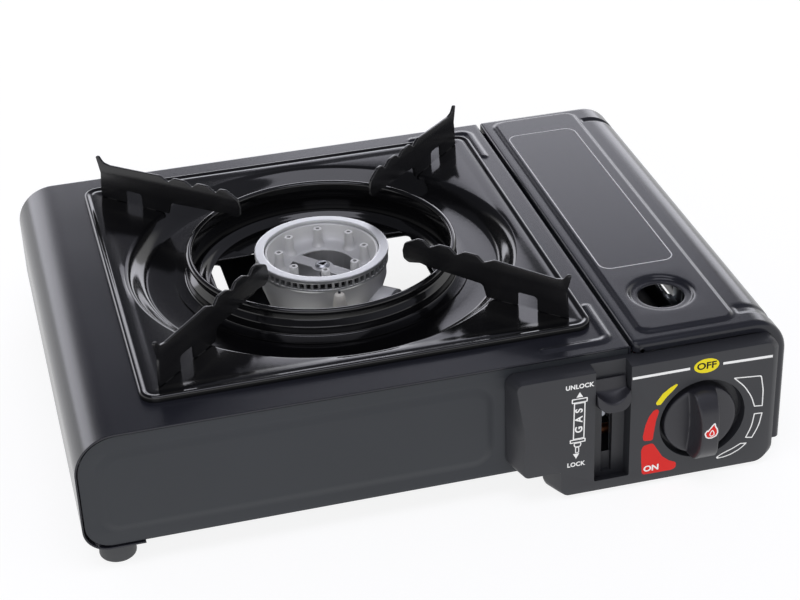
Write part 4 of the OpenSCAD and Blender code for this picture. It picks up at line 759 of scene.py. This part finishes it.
# ---------------------------------------------------------------------------
# Burner head: a turned aluminium port ring with sixty slots over the cast
# cup, a cast plate with eight posts and two openings, one screw in the
# middle, and the porcelain spark electrode at its front.
# ---------------------------------------------------------------------------
# Turned aluminium: brighter and smoother than the casting, so the ring's top stands out.
turned_aluminium = finish("turned aluminium", "#cecfd0", "#dcddde", 0.36, 0.35, 0.02, metallic=0.85, patch=6)
around_tree, around_keys, given, grown_out = new_tree(
    "copies around the burner",
    {"Count": "NodeSocketInt", "Radius": length, "Start": length, "Finish": "NodeSocketMaterial"},
)
row = add(around_tree, "GeometryNodePoints", Count=given["Count"])
number = add(around_tree, "GeometryNodeInputIndex").outputs[0]
share = add(around_tree, "ShaderNodeMath", {"operation": "DIVIDE"}, _0=number, _1=given["Count"])
swing = add(around_tree, "ShaderNodeMath", {"operation": "MULTIPLY_ADD"},
            _0=share.outputs[0], _1=math.tau, _2=given["Start"])
spin = add(around_tree, "ShaderNodeCombineXYZ", Z=swing.outputs[0])
reach = add(around_tree, "ShaderNodeCombineXYZ", X=given["Radius"])
spot = add(around_tree, "ShaderNodeVectorRotate", {"rotation_type": "EULER_XYZ"},
           Vector=reach.outputs[0], Rotation=spin.outputs[0])
spread = add(around_tree, "GeometryNodeSetPosition", Geometry=row.outputs[0], Position=spot.outputs[0])
end_in_copies(around_tree, spread.outputs[0], given["Geometry"], spin.outputs[0])
to_burner = Matrix.Translation((tray_x / 1000, tray_y / 1000, 0))


def around_burner(name, part, count, radius, start, material):
    """A part repeated around the burner's axis."""
    mesh = grown(name, part, around_tree, around_keys, Count=count, Radius=radius / 1000,
                 Start=math.radians(start), Finish=material)
    mesh.transform(to_burner)
    return mesh


ring_in, ring_out, port_count, port_w, port_low, port_high = 29.0, 33.8, 60, 2.3, 73.7, 77.0
inner, outer = ring_in + 1.4, ring_out - 0.3
tooth_rings = []
for z in (port_low, port_high):
    sides = []
    for side in (1, -1):
        for r in (inner, outer) if side == 1 else (outer, inner):
            a = side * (math.pi / port_count - math.asin(port_w / 2 / r))
            sides.append((r * math.cos(a), r * math.sin(a), z))
    tooth_rings.append(sides)
tooth = millimetre_mesh("port_tooth", *loft(tooth_rings, first_cap=True, last_cap=True))
crown_profile = [
    (ring_in, 78.7), (ring_in, 76.9), (33.3, 76.9), (33.7, 77.1), (ring_out, 77.3), (ring_out, 77.5),
    (ring_out, 78.3), (ring_out, 78.6), (33.7, 78.87), (33.4, 79), (33.1, 79), (29.7, 79), (29.4, 79),
    (29.1, 78.9),
]
foot_band = [(31.4, 72), (33.3, 72), (33.5, 72.3), (33.5, 73.5), (33.3, 73.8), (31.4, 73.8)]
bands = [millimetre_mesh("ring_band", *turned(p, 180, tray_x, tray_y)) for p in (crown_profile, foot_band)]
teeth = around_burner("port_teeth", tooth, port_count, 0, 3, turned_aluminium)
ring_meshes = joined("port_ring_turned", bands + [teeth])
finish_piece("port_ring_turned", ring_meshes, "stove", ["burner_port_ring"], turned_aluminium)
# Painted shade: a matt black liner, no piece of the stove, stands in for the dark hollow behind the slots.
painted_shade_black = finish("matt black painted shade", "#121212", "#1b1b1b", 0.85, 0.4, 0.03, patch=6)
liner_in, liner_out, liner_low, liner_high = 30.5, 30.75, 73.3, 76.95
liner = turned(corners_of(liner_in, liner_out, liner_low, liner_high), 96, tray_x, tray_y)
liner_mesh = millimetre_mesh("port_shade_liner", *liner)
finish_piece("port_shade_liner", liner_mesh, "stove", [], painted_shade_black)

post_circle, bar_half, hub_r, kidney_r, mix_turn = 21.6, 3.6, 5.4, 16.4, -48.0


def kidney(side):
    """One of the two openings of the post plate: a half disc less the bar and the hub."""
    outer = math.degrees(math.asin(bar_half / kidney_r))
    inner = math.degrees(math.asin(bar_half / hub_r))
    outline = arc(0, 0, kidney_r, outer, 180 - outer, 36) + arc(0, 0, hub_r, 180 - inner, inner, 12)
    return [(u, side * v) for u, v in (outline if side > 0 else outline[::-1])]


turned_plate = Matrix.Translation((tray_x, tray_y, 0)) @ Matrix.Rotation(math.radians(mix_turn), 4, "Z")
middle = turned_plate @ Matrix.Translation((0, 0, 68.2))
web = plate("post_plate_web", [arc(0, 0, 17.6, 0, 354, 59), kidney(1), kidney(-1)], 0.8, 0.2, middle)
wall_profile = [
    (17.1, 67.8), (24, 68.2), (26.6, 71.5), (27.6, 75), (28.7, 76.6), (28.7, 77.4), (28.5, 77.6), (28.0, 77.6),
    (27.5, 77.2), (26.6, 74), (25.6, 71.6), (24.2, 70.2), (22.5, 69.5), (19, 69.0), (17.6, 68.9), (17.2, 68.6),
]
post_foot, post_count, post_start = 68.6, 8, -7.5
post_profile = [
    (1.05, 71), (1.05, 78.5), (1.95, 78.5), (2.15, 78.3), (2.3, 74), (2.5, 71.2), (2.9, 70), (3.6, 69.2),
    (3.6, post_foot), (0, post_foot), (0, 71),
]
wall = millimetre_mesh("post_plate_wall", *turned(wall_profile, 120, tray_x, tray_y))
post = millimetre_mesh("post", *turned(post_profile, 32))
posts = around_burner("posts", post, post_count, post_circle, post_start, cast_aluminium)
plate_meshes = joined("post_plate_casting", [web, wall, posts])
finish_piece("post_plate_casting", plate_meshes, "stove", ["burner_post_plate"], cast_aluminium)
screw_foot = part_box("burner_screw")[0][2] * 1000
screws("burner_screw", [((tray_x, tray_y, post_foot), (0, 0, -1))], post_foot - screw_foot, (3.7, 1.6))
low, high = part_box("electrode_ceramic")
spark_x, spark_y, widest = (low[0] + high[0]) * 500, (low[1] + high[1]) * 500, (high[0] - low[0]) * 500
ceramic_profile = [(0.7, 56), (widest - 1, 56), (widest - 0.9, 65), (widest, 66.5), (widest - 0.05, 67.6)]
ceramic_profile += [(widest - 0.5, 70.4), (widest - 0.8, 72.4), (widest - 1.3, 73.4), (1.3, 73.9), (0.7, 74)]
ceramic_mesh = millimetre_mesh("spark_ceramic", *turned(ceramic_profile, 40, spark_x, spark_y))
finish_piece("spark_ceramic", ceramic_mesh, "stove", ["electrode_ceramic"], porcelain)
eased("electrode_pin", "stove", plated_steel, 0.15)
base_seat, partition_seat, regulator_y = 12.8, 90.05, -69.02
bracket_places = [((tray_x + way * bracket_reach, tray_y, base_seat), (0, 0, 1)) for way in (-1, 1)]
bracket_places += [((partition_seat, regulator_y, z), (-1, 0, 0)) for z in (32, 40)]
screws("bracket_screws", bracket_places, 2.8)


# ---------------------------------------------------------------------------
# Control panel: an ABS moulding, spark-eroded matt, with bevelled ends, a
# channel for the lock lever and a round recess for the knob, held from
# inside by four screws. Its markings are screen printed.
# ---------------------------------------------------------------------------
# Spark-eroded ABS: an even matt grey with a fine sparkle of grain in raking light.
panel_abs = finish("spark-eroded dark grey ABS", "#2a2b2f", "#313236", 0.46, 0.5, 0.05, ior=1.48, patch=40)
face_y, panel_back = -124.0, -112.55
foot_line = [(29.8, 17.6, 6), (48.2, 17.6, 1), (48.2, 2.3, 6), (162.4, 2.3, 7.5),
             (162.4, 69.2, 5), (29.8, 69.2, 5), (29.8, 40, 9)]
mid_line = [(33.2, 16.9, 4), (52.2, 16.9, 1), (52.4, 2.4, 4.5), (162.2, 2.1, 7.5),
            (162.2, 69.4, 5), (31.1, 69.4, 3.5), (34.6, 38.5, 20)]
face_line = [(34.4, 16.6, 3.5), (53.6, 16.6, 1), (53.9, 2.6, 4), (159.0, 2.1, 7),
             (159.0, 69.2, 4), (31.6, 69.2, 3), (36.3, 38, 24)]
channel_left, channel_right, channel_top = 70.15, 87.65, 80
# The lever's slot goes through the moulding; below its step it is only a blind groove.
groove_right, groove_low, groove_step, groove_top, groove_front = 81.6, 6.8, 16.5, 58, -119
stem_bore = 5.5


def upright_ring(corners, y):
    """A rounded outline standing upright at a given y."""
    return [(x, y, z) for x, z in rounded(corners, 1, 8)]


def block(low, high):
    """The points and faces of a box between two corners."""
    (x0, y0, z0), (x1, y1, z1) = low, high
    ends = [[(x, y, z) for x, z in corners_of(x0, x1, z0, z1)] for y in (y0, y1)]
    return loft(ends, first_cap=True, last_cap=True)


def disc_ring(r, y, steps=96, right=0.0, up=0.0):
    """Points on an upright circle around the knob's axis, or a little to the right of it and above it."""
    angles = [a * math.tau / steps for a in range(steps)]
    return [(knob_x + right + r * math.cos(a), y, knob_z + up + r * math.sin(a)) for a in angles]


panel_rings = [upright_ring(line, y) for line, y in (
    (foot_line, panel_back), (foot_line, -114.6), (mid_line, -121.6), (face_line, face_y))]
channel_rings = []
for y, foot in ((-130, 8.0), (-124.2, 8.0), (-123.2, 7.6), (-115.8, 4.2)):
    channel_rings.append([(x, y, z) for x, z in rounded([
        (channel_left, foot, 0.8), (channel_right, foot, 0.8), (channel_right, channel_top, 0),
        (channel_left, channel_top, 0),
    ], 0.8)])
recess_rings = [disc_ring(r, y, 96, 0.8, 0.7) for r, y in ((21.6, -130), (21.6, -119), (20.7, -118))]
stem_rings = [disc_ring(stem_bore, y, 48) for y in (-120, -110)]
pockets = [
    cutter("channel", *loft(channel_rings, first_cap=True, last_cap=True)),
    cutter("slot", *block((slot_left, groove_front, groove_step), (groove_right, -110, groove_top))),
    cutter("slot_foot", *block((slot_left, groove_front, groove_low), (groove_right, -113.1, groove_step))),
    cutter("recess", *loft(recess_rings, first_cap=True, last_cap=True)),
    cutter("stem_hole", *loft(stem_rings, first_cap=True, last_cap=True)),
]
finish_piece(
    "control_panel_moulding",
    millimetre_mesh("control_panel_moulding", *loft(panel_rings, first_cap=True, last_cap=True)),
    "stove", ["control_panel"], panel_abs,
    [cut_by(pocket) for pocket in pockets] + [rounded_edges(0.6, 3, 38)], smooth=45,
)
for pocket in pockets:
    bpy.data.objects.remove(pocket)
screws("panel_screws", [((x, -111.6, z), (0, -1, 0)) for x in (45.5, 152.5) for z in (24, 60.2)], 8.4)

# Screen inks: flat, strong colours that stand out sharply from the grained face.
red_ink = finish("red screen ink", "#d8231f", "#e02f2a", 0.55, 0.3, 0.004, ior=1.3, patch=12)
yellow_ink = finish("yellow screen ink", "#ecd91c", "#f2e128", 0.55, 0.3, 0.004, ior=1.3, patch=12)
black_ink = finish("black screen ink", "#0f0f10", "#151516", 0.55, 0.3, 0.004, ior=1.3, patch=12)
print_face = facing_front(0, face_y - 0.03, 0)
over_print = facing_front(0, face_y - 0.09, 0)


def bar(start, end, width):
    """The outline of a straight printed line."""
    along = (Vector(end) - Vector(start)).normalized() * width / 2
    side = Vector((-along.y, along.x))
    a, b = Vector(start), Vector(end)
    return [tuple(a - side), tuple(b - side), tuple(b + side), tuple(a + side)]


def hollow(corners, width, radius=0.5):
    """A closed outline, counter-clockwise, and the same one moved inwards, for a printed frame."""
    inner = []
    for i, corner in enumerate(corners):
        here = Vector(corner[:2])
        back = (Vector(corners[i - 1][:2]) - here).normalized()
        ahead = (Vector(corners[(i + 1) % len(corners)][:2]) - here).normalized()
        inward = Vector((ahead.y - back.y, back.x - ahead.x)).normalized()
        size = 1 / max(0.35, math.sqrt((1 - back.dot(ahead)) / 2))
        inner.append(tuple(here - inward * width * size) + tuple(corner[2:]))
    return [rounded(corners, radius, 4), rounded(inner, max(0.1, radius - width), 4)]


def letters(name, text, x, z, size, material, place, turn=0.0, wide=1.0, heavy=0.06, apart=1.0):
    """Generic lettering as thin ink, centred on a point of the face."""
    curve = bpy.data.curves.new(name, "FONT")
    curve.body = text
    curve.size = size
    curve.align_x = curve.align_y = "CENTER"
    curve.extrude = ink / 2
    curve.offset = heavy
    curve.space_character = apart
    turned_there = Matrix.Translation((x, z, 0)) @ Matrix.Rotation(math.radians(turn), 4, "Z")
    spot = turned_there @ Matrix.Diagonal((wide, 1, 1, 1))
    return finish_piece(name, solid_of(name, curve, place @ spot), "stove", [], material)


def printed(name, shapes, material):
    """Several printed shapes of one ink on the panel's face."""
    flats = [plate(name, loops, ink, 0, print_face) for loops in shapes]
    finish_piece(name, joined(name, flats), "stove", [], material)


oval_angles = [a * math.tau / 48 for a in range(48)]
oval = [(124.9 + 6.3 * math.cos(a), 62.7 + 3.9 * math.sin(a)) for a in oval_angles]
yellow_taper = [(112.2, 56.4), (107.3, 54.1), (103.4, 51.2), (100.2, 46.7),
                (100.6, 45.3), (102.6, 45.3), (105.5, 49.1), (108.9, 52.4)]
red_upper = [(101.3, 43.2), (99.2, 42.6), (97.0, 39.6), (95.3, 35.0), (94.2, 28.6),
             (94.6, 26.2), (99.2, 25.6), (99.8, 31.2), (100.6, 36.8), (101.9, 41.4)]
red_lower = [(98.6, 24.0), (94.6, 23.4), (93.6, 20.7), (93.8, 15.3), (94.4, 6.6), (109.2, 6.4),
             (111.6, 7.3), (111.7, 10.4), (108.0, 12.2), (104.4, 15.4), (101.4, 20.6), (99.8, 23.4)]
printed("print_yellow", [[oval], [rounded(yellow_taper, 0.9, 4)]], yellow_ink)
printed("print_red", [[rounded(red_upper, 1.2, 4)], [rounded(red_lower, 1.6, 4)]], red_ink)
segment_large = [(138.7, 53.2), (153.4, 51.8, 1.2), (154.9, 43.5, 20), (155, 34),
                 (150.5, 34.5), (148.6, 40.4, 20), (144.7, 47, 20)]
segment_small = [(150.7, 30.6), (155.2, 30.3), (153.9, 22.9, 20),
                 (150.6, 16.4), (146.8, 17.2), (149.6, 23.2, 20)]
segment_tail = [(144.6, 14.6), (148.3, 14.2), (144.8, 11, 20), (138.6, 8.1, 20),
                (130.5, 7.8, 0.8), (135.3, 10.6, 20), (140.5, 12.5, 20)]
gas_can = [(59.2, 34.2), (64.9, 34.2), (65.2, 54.6), (59.5, 54.6)]
can_collar, can_rim, can_nozzle = (58.4, 66.2, 54.5, 57.0), (57.7, 65.5, 32.2, 34.3), (60.4, 62.4, 26.4, 29.8)
white_shapes = [[bar((88.1, 62.6), (116.6, 62.6), 1.35)], [bar((133.2, 62.3), (158.3, 61.6), 1.35)]]
white_shapes += [hollow(segment[::-1], 0.55, 0.3) for segment in (segment_large, segment_small, segment_tail)]
white_shapes += [[[(62.3, 60.4), (60.7, 57.6), (63.9, 57.6)]], [[(60.9, 23.2), (62.5, 26.1), (59.3, 26.1)]]]
white_shapes += [hollow(gas_can, 0.55, 0.3)]
white_shapes += [hollow(corners_of(*box), 0.55, 0.4) for box in (can_collar, can_rim)]
white_shapes += [hollow([(59.3, 32.3), (60.1, 29.7), (63.0, 29.7), (63.8, 32.3)], 0.5, 0.9)]
white_shapes += [hollow(corners_of(*can_nozzle), 0.45, 0.5)]
printed("print_white", white_shapes, white_ink)
letters("word_off", "OFF", 124.9, 62.6, 5.0, black_ink, over_print, wide=1.12, heavy=0.12)
letters("word_on", "ON", 99.0, 9.6, 4.4, white_ink, over_print, wide=1.12, heavy=0.14)
letters("word_unlock", "UNLOCK", 62.2, 63.5, 3.3, white_ink, print_face, wide=0.96, heavy=0.11, apart=1.06)
letters("word_lock", "LOCK", 60.9, 19.9, 3.3, white_ink, print_face, wide=0.96, heavy=0.11, apart=1.06)
letters("word_gas", "GAS", 62.2, 44.5, 5.0, white_ink, print_face, turn=90, wide=1.0, heavy=0.14, apart=1.85)


# ---------------------------------------------------------------------------
# Control knob: a satin black ABS disc with a waisted, arched grip across it,
# pressed on the brass valve stem. A small flame is printed on the grip.
# ---------------------------------------------------------------------------
# Satin ABS: darker and smoother than the panel, with a soft light along the grip's edges.
knob_abs = finish("satin black ABS", "#25252a", "#2b2b31", 0.38, 0.45, 0.03, ior=1.52, patch=25)
knob_r, knob_front, knob_back, disc_y = 18.4, -136.8, -118.3, -124.2


def knob_face(x, z):
    """The y of the knob's face at a point measured from its middle."""
    waist = 4.3 + 1.6 * (z / knob_r) ** 2
    arch = (disc_y - knob_front) * (1 - (0.78 if z > 0 else 0.6) * abs(z / knob_r) ** 3.2)
    off = abs(x) - waist
    from_rim = knob_r - math.hypot(x, z)
    disc = 0.5 * ease(1 - (off - 2) / 12) - 0.5
    if off < -1.0:
        rise = arch
    elif off < 0:
        rise = arch - 1.0 + math.sqrt(max(0.0, 1.0 - (off + 1.0) ** 2))
    else:
        rise = disc + (arch - 1.0 - disc) * (1 - min(1.0, off / 1.5)) ** 2
    rise -= 1.4 - math.sqrt(max(0.0, 1.96 - max(0.0, 1.4 - from_rim) ** 2))
    return disc_y - rise


def face_solid(name, rows, back):
    """A solid under a curved front: rows of front points, walls all round and a flat back at a given y."""
    points, faces = loft(rows, closed=False)
    count, last = len(rows[0]), (len(rows) - 1) * len(rows[0])
    edge = list(range(count)) + [j * count + count - 1 for j in range(1, len(rows))]
    edge += [last + i for i in range(count - 2, -1, -1)] + [j * count for j in range(len(rows) - 2, 0, -1)]
    base = len(points)
    points += [(points[i][0], back, points[i][2]) for i in edge]
    size = len(edge)
    faces += [(edge[k], edge[(k + 1) % size], base + (k + 1) % size, base + k) for k in range(size)]
    faces.append(tuple(range(base, base + size)))
    return millimetre_mesh(name, points, faces)


half_across = [0, 1.5, 2.6, 3.2, 3.6] + spaced(3.85, 7.6, 0.25)
half_across += [8, 9, 10.5, 12.5, 14.5, 16, 17, 17.7, 18.15, 18.38]
across = [-x for x in half_across[:0:-1]] + half_across
near_rim = [0.9, 0.94, 0.965, 0.985, 0.997, 1]
heights = [-t for t in near_rim[::-1]] + spaced(-0.84, 0.84, 0.07) + near_rim
knob_rows = []
for t in heights:
    spots = [(x, t * math.sqrt(knob_r**2 - x * x)) for x in across]
    knob_rows.append([(knob_x + x, knob_face(x, z), knob_z + z) for x, z in spots])
knob_mesh = face_solid("knob_moulding", knob_rows, knob_back)
finish_piece("knob_moulding", knob_mesh, "knob", ["control_knob"], knob_abs, smooth=50)
flame = [(0.4, -4.0), (2.6, -3.1), (3.5, -1.1), (3.1, 1.1), (2.3, 2.4), (1.8, 4.7), (0.5, 3.5),
         (-1.1, 1.7), (-1.8, 0.8), (-2.4, 1.1), (-3.5, -0.7), (-2.9, -2.8), (-1.6, -3.8)]
flame_core = [(0.3, -2.9), (1.5, -2.1), (1.5, -0.8), (0.5, 1.1), (-0.6, -0.2), (-1.1, -1.6), (-0.7, -2.5)]
flame_x, flame_z = 0.2, 1.7
flame_outer, flame_inner = hollow(flame, 0.65, 0.5)
core_outer, core_inner = hollow(flame_core, 0.45, 0.4)


def on_grip(name, loops, lift, material):
    """A flat print laid over the curved grip, cut into narrow strips so that it follows the curve."""
    mesh = plate(name, loops, ink, 0, facing_front(knob_x + flame_x, 0, knob_z + flame_z))
    work = bmesh.new()
    work.from_mesh(mesh)
    cuts = [((knob_x + s) / 1000, 0, (1, 0, 0)) for s in spaced(-4, 4, 0.5)]
    cuts += [(0, (knob_z + s) / 1000, (0, 0, 1)) for s in spaced(-4, 8, 0.75)]
    for cut_x, cut_z, way in cuts:
        everything = work.verts[:] + work.edges[:] + work.faces[:]
        bmesh.ops.bisect_plane(work, geom=everything, plane_co=(cut_x, 0, cut_z), plane_no=way, dist=1e-7)
    work.to_mesh(mesh)
    work.free()
    for vertex in mesh.vertices:
        x, y, z = (c * 1000 for c in vertex.co)
        vertex.co.y = (knob_face(x - knob_x, z - knob_z) - lift + y) / 1000
    finish_piece(name, mesh, "knob", [], material)


on_grip("flame_outline", [flame_outer, flame_inner], 0.06, white_ink)
on_grip("flame_body", [flame_inner], 0.06, red_ink)
on_grip("flame_curl", [core_outer, core_inner], 0.12, white_ink)


# ---------------------------------------------------------------------------
# Lock lever pad: a satin black ABS thumb pad with a dished ledge, pushed
# onto the end of the zinc-plated lever.
# ---------------------------------------------------------------------------
pin_place, lever_lean = (0.0789, -0.078018, 0.037), -20
on_lever = Matrix.Translation(pin_place) @ Matrix.Rotation(math.radians(lever_lean), 4, "X")
pad_half_w, pad_half_h, pad_front, pad_plate, pad_rear, pad_corner = 8.15, 9.0, -50.8, -45.2, -43.6, 6.0
pad_low, pad_chord = 6.5, 3.4
pad_xs = [-pad_half_w, -8.05, -7.8, -7.4] + spaced(-6.8, 6.8, 0.8) + [7.4, 7.8, 8.05, pad_half_w]
pad_rows = []
for t in spaced(0, 1, 0.04):
    line = []
    for x in pad_xs:
        curve_in = max(0.0, abs(x) - (pad_half_w - pad_corner))
        low = -pad_low + pad_corner - math.sqrt(max(0.0, pad_corner**2 - curve_in**2))
        z = low + (pad_half_h - low) * t
        lip = pad_chord - 0.4 - 5.6 * (1 - (x / pad_half_w) ** 2)
        reach = min(1.0, max(0.0, (pad_chord - z) / (pad_chord - lip)))
        line.append((x, pad_plate + (pad_front - pad_plate) * reach ** 1.6, z))
    pad_rows.append(line)
pad_mesh = face_solid("thumb_pad", pad_rows, pad_rear)
pad_mesh.transform(on_lever)
finish_piece("thumb_pad", pad_mesh, "lever", ["lever_pad"], knob_abs, [rounded_edges(0.6, 3, 50)], smooth=50)


# ---------------------------------------------------------------------------
# Drip tray: one deep-drawn steel sheet, square with a rolled rim, a dished
# middle and a burner opening. Black vitreous enamel inside and out.
# ---------------------------------------------------------------------------
# Enamel: near black, and glossy enough to mirror the studio's pale panels in slightly wavy streaks.
black_enamel = finish("black vitreous enamel", "#0a0a0b", "#0e0e10", 0.11, 2.6, 0.012, ior=1.55, patch=70)
half, corner_r = 107.5, 8.0


def edge_distance(angle, half_u, half_v, radius):
    """Distance from the middle to a rounded box's edge, at an angle in degrees."""
    c, s = abs(math.cos(math.radians(angle))), abs(math.sin(math.radians(angle)))
    flat_u, flat_v = half_u - radius, half_v - radius
    if s * half_u <= flat_v * c:
        return half_u / c
    if c * half_v <= flat_u * s:
        return half_v / s
    along = flat_u * c + flat_v * s
    return along + math.sqrt(max(0.0, along**2 - flat_u**2 - flat_v**2 + radius**2))


def around_tray(a, r, z):
    """A point at an angle in degrees and a distance from the burner's axis."""
    return (tray_x + r * math.cos(math.radians(a)), tray_y + r * math.sin(math.radians(a)), z)


quarter = spaced(0, 22, 2) + spaced(23, 34, 0.75) + spaced(35.5, 42, 1)
quarter += spaced(42.3, 47.7, 0.36) + spaced(49, 88, 2)
turns_round = quarter + [90] + [180 - a for a in quarter[::-1]]
turns_round += [a + 180 for a in turns_round[1:-1]]
rim_curve = [(0, 73.7), (0, 75.4), (0.25, 76.1), (0.8, 76.5), (1.4, 76.6), (2.0, 76.5), (2.6, 76.15),
             (3.1, 75.9), (3.6, 75.85), (4.4, 76.0), (5.2, 76.05), (7, 75.95), (9, 75.75), (11, 75.6)]
dish_top, dish_foot, dish_z, tray_flat = 99.0, 88.0, 68.0, 75.6
tray_rings = []
for inset, z in rim_curve:
    side, least = half - inset, dish_top + 0.1 * (12 - inset)
    turn_r = max(1.0, corner_r - inset)
    tray_rings.append([(max(edge_distance(a, side, side, turn_r), least), z) for a in turns_round])
dish_curve = []
for i in range(17):
    t = i / 16
    dish_curve.append((dish_top + (dish_foot - dish_top) * t, tray_flat - (tray_flat - dish_z) * ease(t)))
dish_curve += [(80, 68), (70, 68), (63, 68), (61.5, 67.7), (60, 66.2), (58.5, 64.6), (57, 64.3)]
tray_rings += [[spot] * len(turns_round) for spot in dish_curve]
for more, z in [(0.8, 64.3), (0.2, 64.1), (0.0, 63.6)]:
    tray_rings.append([(max(edge_distance(a, 54, 30, 7), 44.0) + more, z) for a in turns_round])
tray_rings = [[around_tray(a, r, z) for a, (r, z) in zip(turns_round, ring)] for ring in tray_rings]
tray_mesh = millimetre_mesh("tray_pressing", *loft(tray_rings))
finish_piece("tray_pressing", tray_mesh, "tray", ["drip_tray"], black_enamel, [thickened], smooth=50)


# ---------------------------------------------------------------------------
# Wind ring: a stepped collar of enamelled sheet with a rolled top bead,
# spot welded in the dish.
# ---------------------------------------------------------------------------
ring_profile = arc(66.4, 81, 1.7, -150, 180, 20)
ring_profile += [(64.7, 81), (64.7, 75.9), (64.95, 75.3), (67.3, 73.5), (67.65, 72.9), (67.7, 68.05)]
ring_profile += [(74.5, 68.05), (74.7, 68.3), (74.6, 68.8), (69.7, 68.85), (68.9, 69.1), (68.5, 69.9)]
ring_profile += [(68.5, 73.3), (68.2, 74), (66.0, 75.7), (65.5, 76.5), (65.5, 79.0)]
wind_ring_mesh = millimetre_mesh("wind_ring_rolled", *turned(ring_profile, 192, tray_x, tray_y))
finish_piece("wind_ring_rolled", wind_ring_mesh, "tray", ["wind_ring"], black_enamel, smooth=50)


# ---------------------------------------------------------------------------
# Pan supports: four blades of 1.5 mm steel, blanked with notches, a horn and
# a window between two feet, tangs through the tray. Black vitreous enamel.
# ---------------------------------------------------------------------------
blade = [(138.6, 75.8, 0.5), (138.2, 84, 3), (137.5, 90, 4), (139.8, 99.5, 0.9), (137.7, 99.5, 0.8),
         (135.4, 96.4, 3), (131.5, 95.6, 5), (114, 96.3, 9), (98.5, 97.2, 3), (93.1, 94.6, 1),
         (89.5, 97.6, 2.5), (82.5, 97.6, 4), (78.1, 95, 1), (74.5, 98, 2.5), (68.5, 98.1, 4), (63.3, 95.3, 1),
         (60.2, 98.2, 2.2), (56.5, 98.3, 3), (49.2, 94.4, 3), (48, 90, 2), (48.4, 85.6, 2.5), (51.5, 84, 2.5),
         (58, 85.3, 3), (62, 84.3, 3), (76, 83.6, 6), (92.6, 82.5, 2.5), (94.6, 75.8, 0.5), (111.5, 75.8, 0.4),
         (111.5, 83.1, 1.6), (122.2, 83.1, 2.2), (122.2, 75.8, 0.4)]
support_angles = {"front_right": -45, "rear_right": 45, "rear_left": 135, "front_left": 225}
blade_t, tang_places, tang_half = 1.5, (131.5, 106.0), 3.0
tang_foot, tang_top, lip_z, lip_t = 74.3, 76, 74.62, 0.65
# Enamel on thick steel: a little duller and lumpier than on the tray, so the blades stand out from it.
blade_enamel = finish(
    "black vitreous enamel on thick blades", "#121213", "#19191b", 0.24, 1.4, 0.03, ior=1.55, patch=18
)
blank = plate("blade", [rounded(blade, 1, 5)], blade_t, 0.35, Matrix.Rotation(math.pi / 2, 4, "X"))
tangs = []
for s in tang_places:
    side = corners_of(-tang_half, tang_half, tang_foot, tang_top)
    upright_at = Matrix.Translation((s, 0, 0)) @ Matrix.Rotation(math.pi / 2, 4, "X")
    tangs.append(plate("tang", [side], blade_t, 0.1, upright_at))
    lip = corners_of(-tang_half, tang_half, -0.7, 3.7)
    tangs.append(plate("lip", [lip], lip_t, 0.15, Matrix.Translation((s, 0, lip_z))))
for corner, angle in support_angles.items():
    mesh = joined("support_" + corner, [blank] + tangs)
    mesh.transform(to_burner @ Matrix.Rotation(math.radians(angle), 4, "Z"))
    finish_piece("support_blade_" + corner, mesh, "tray", ["pan_support_" + corner], blade_enamel, smooth=40)
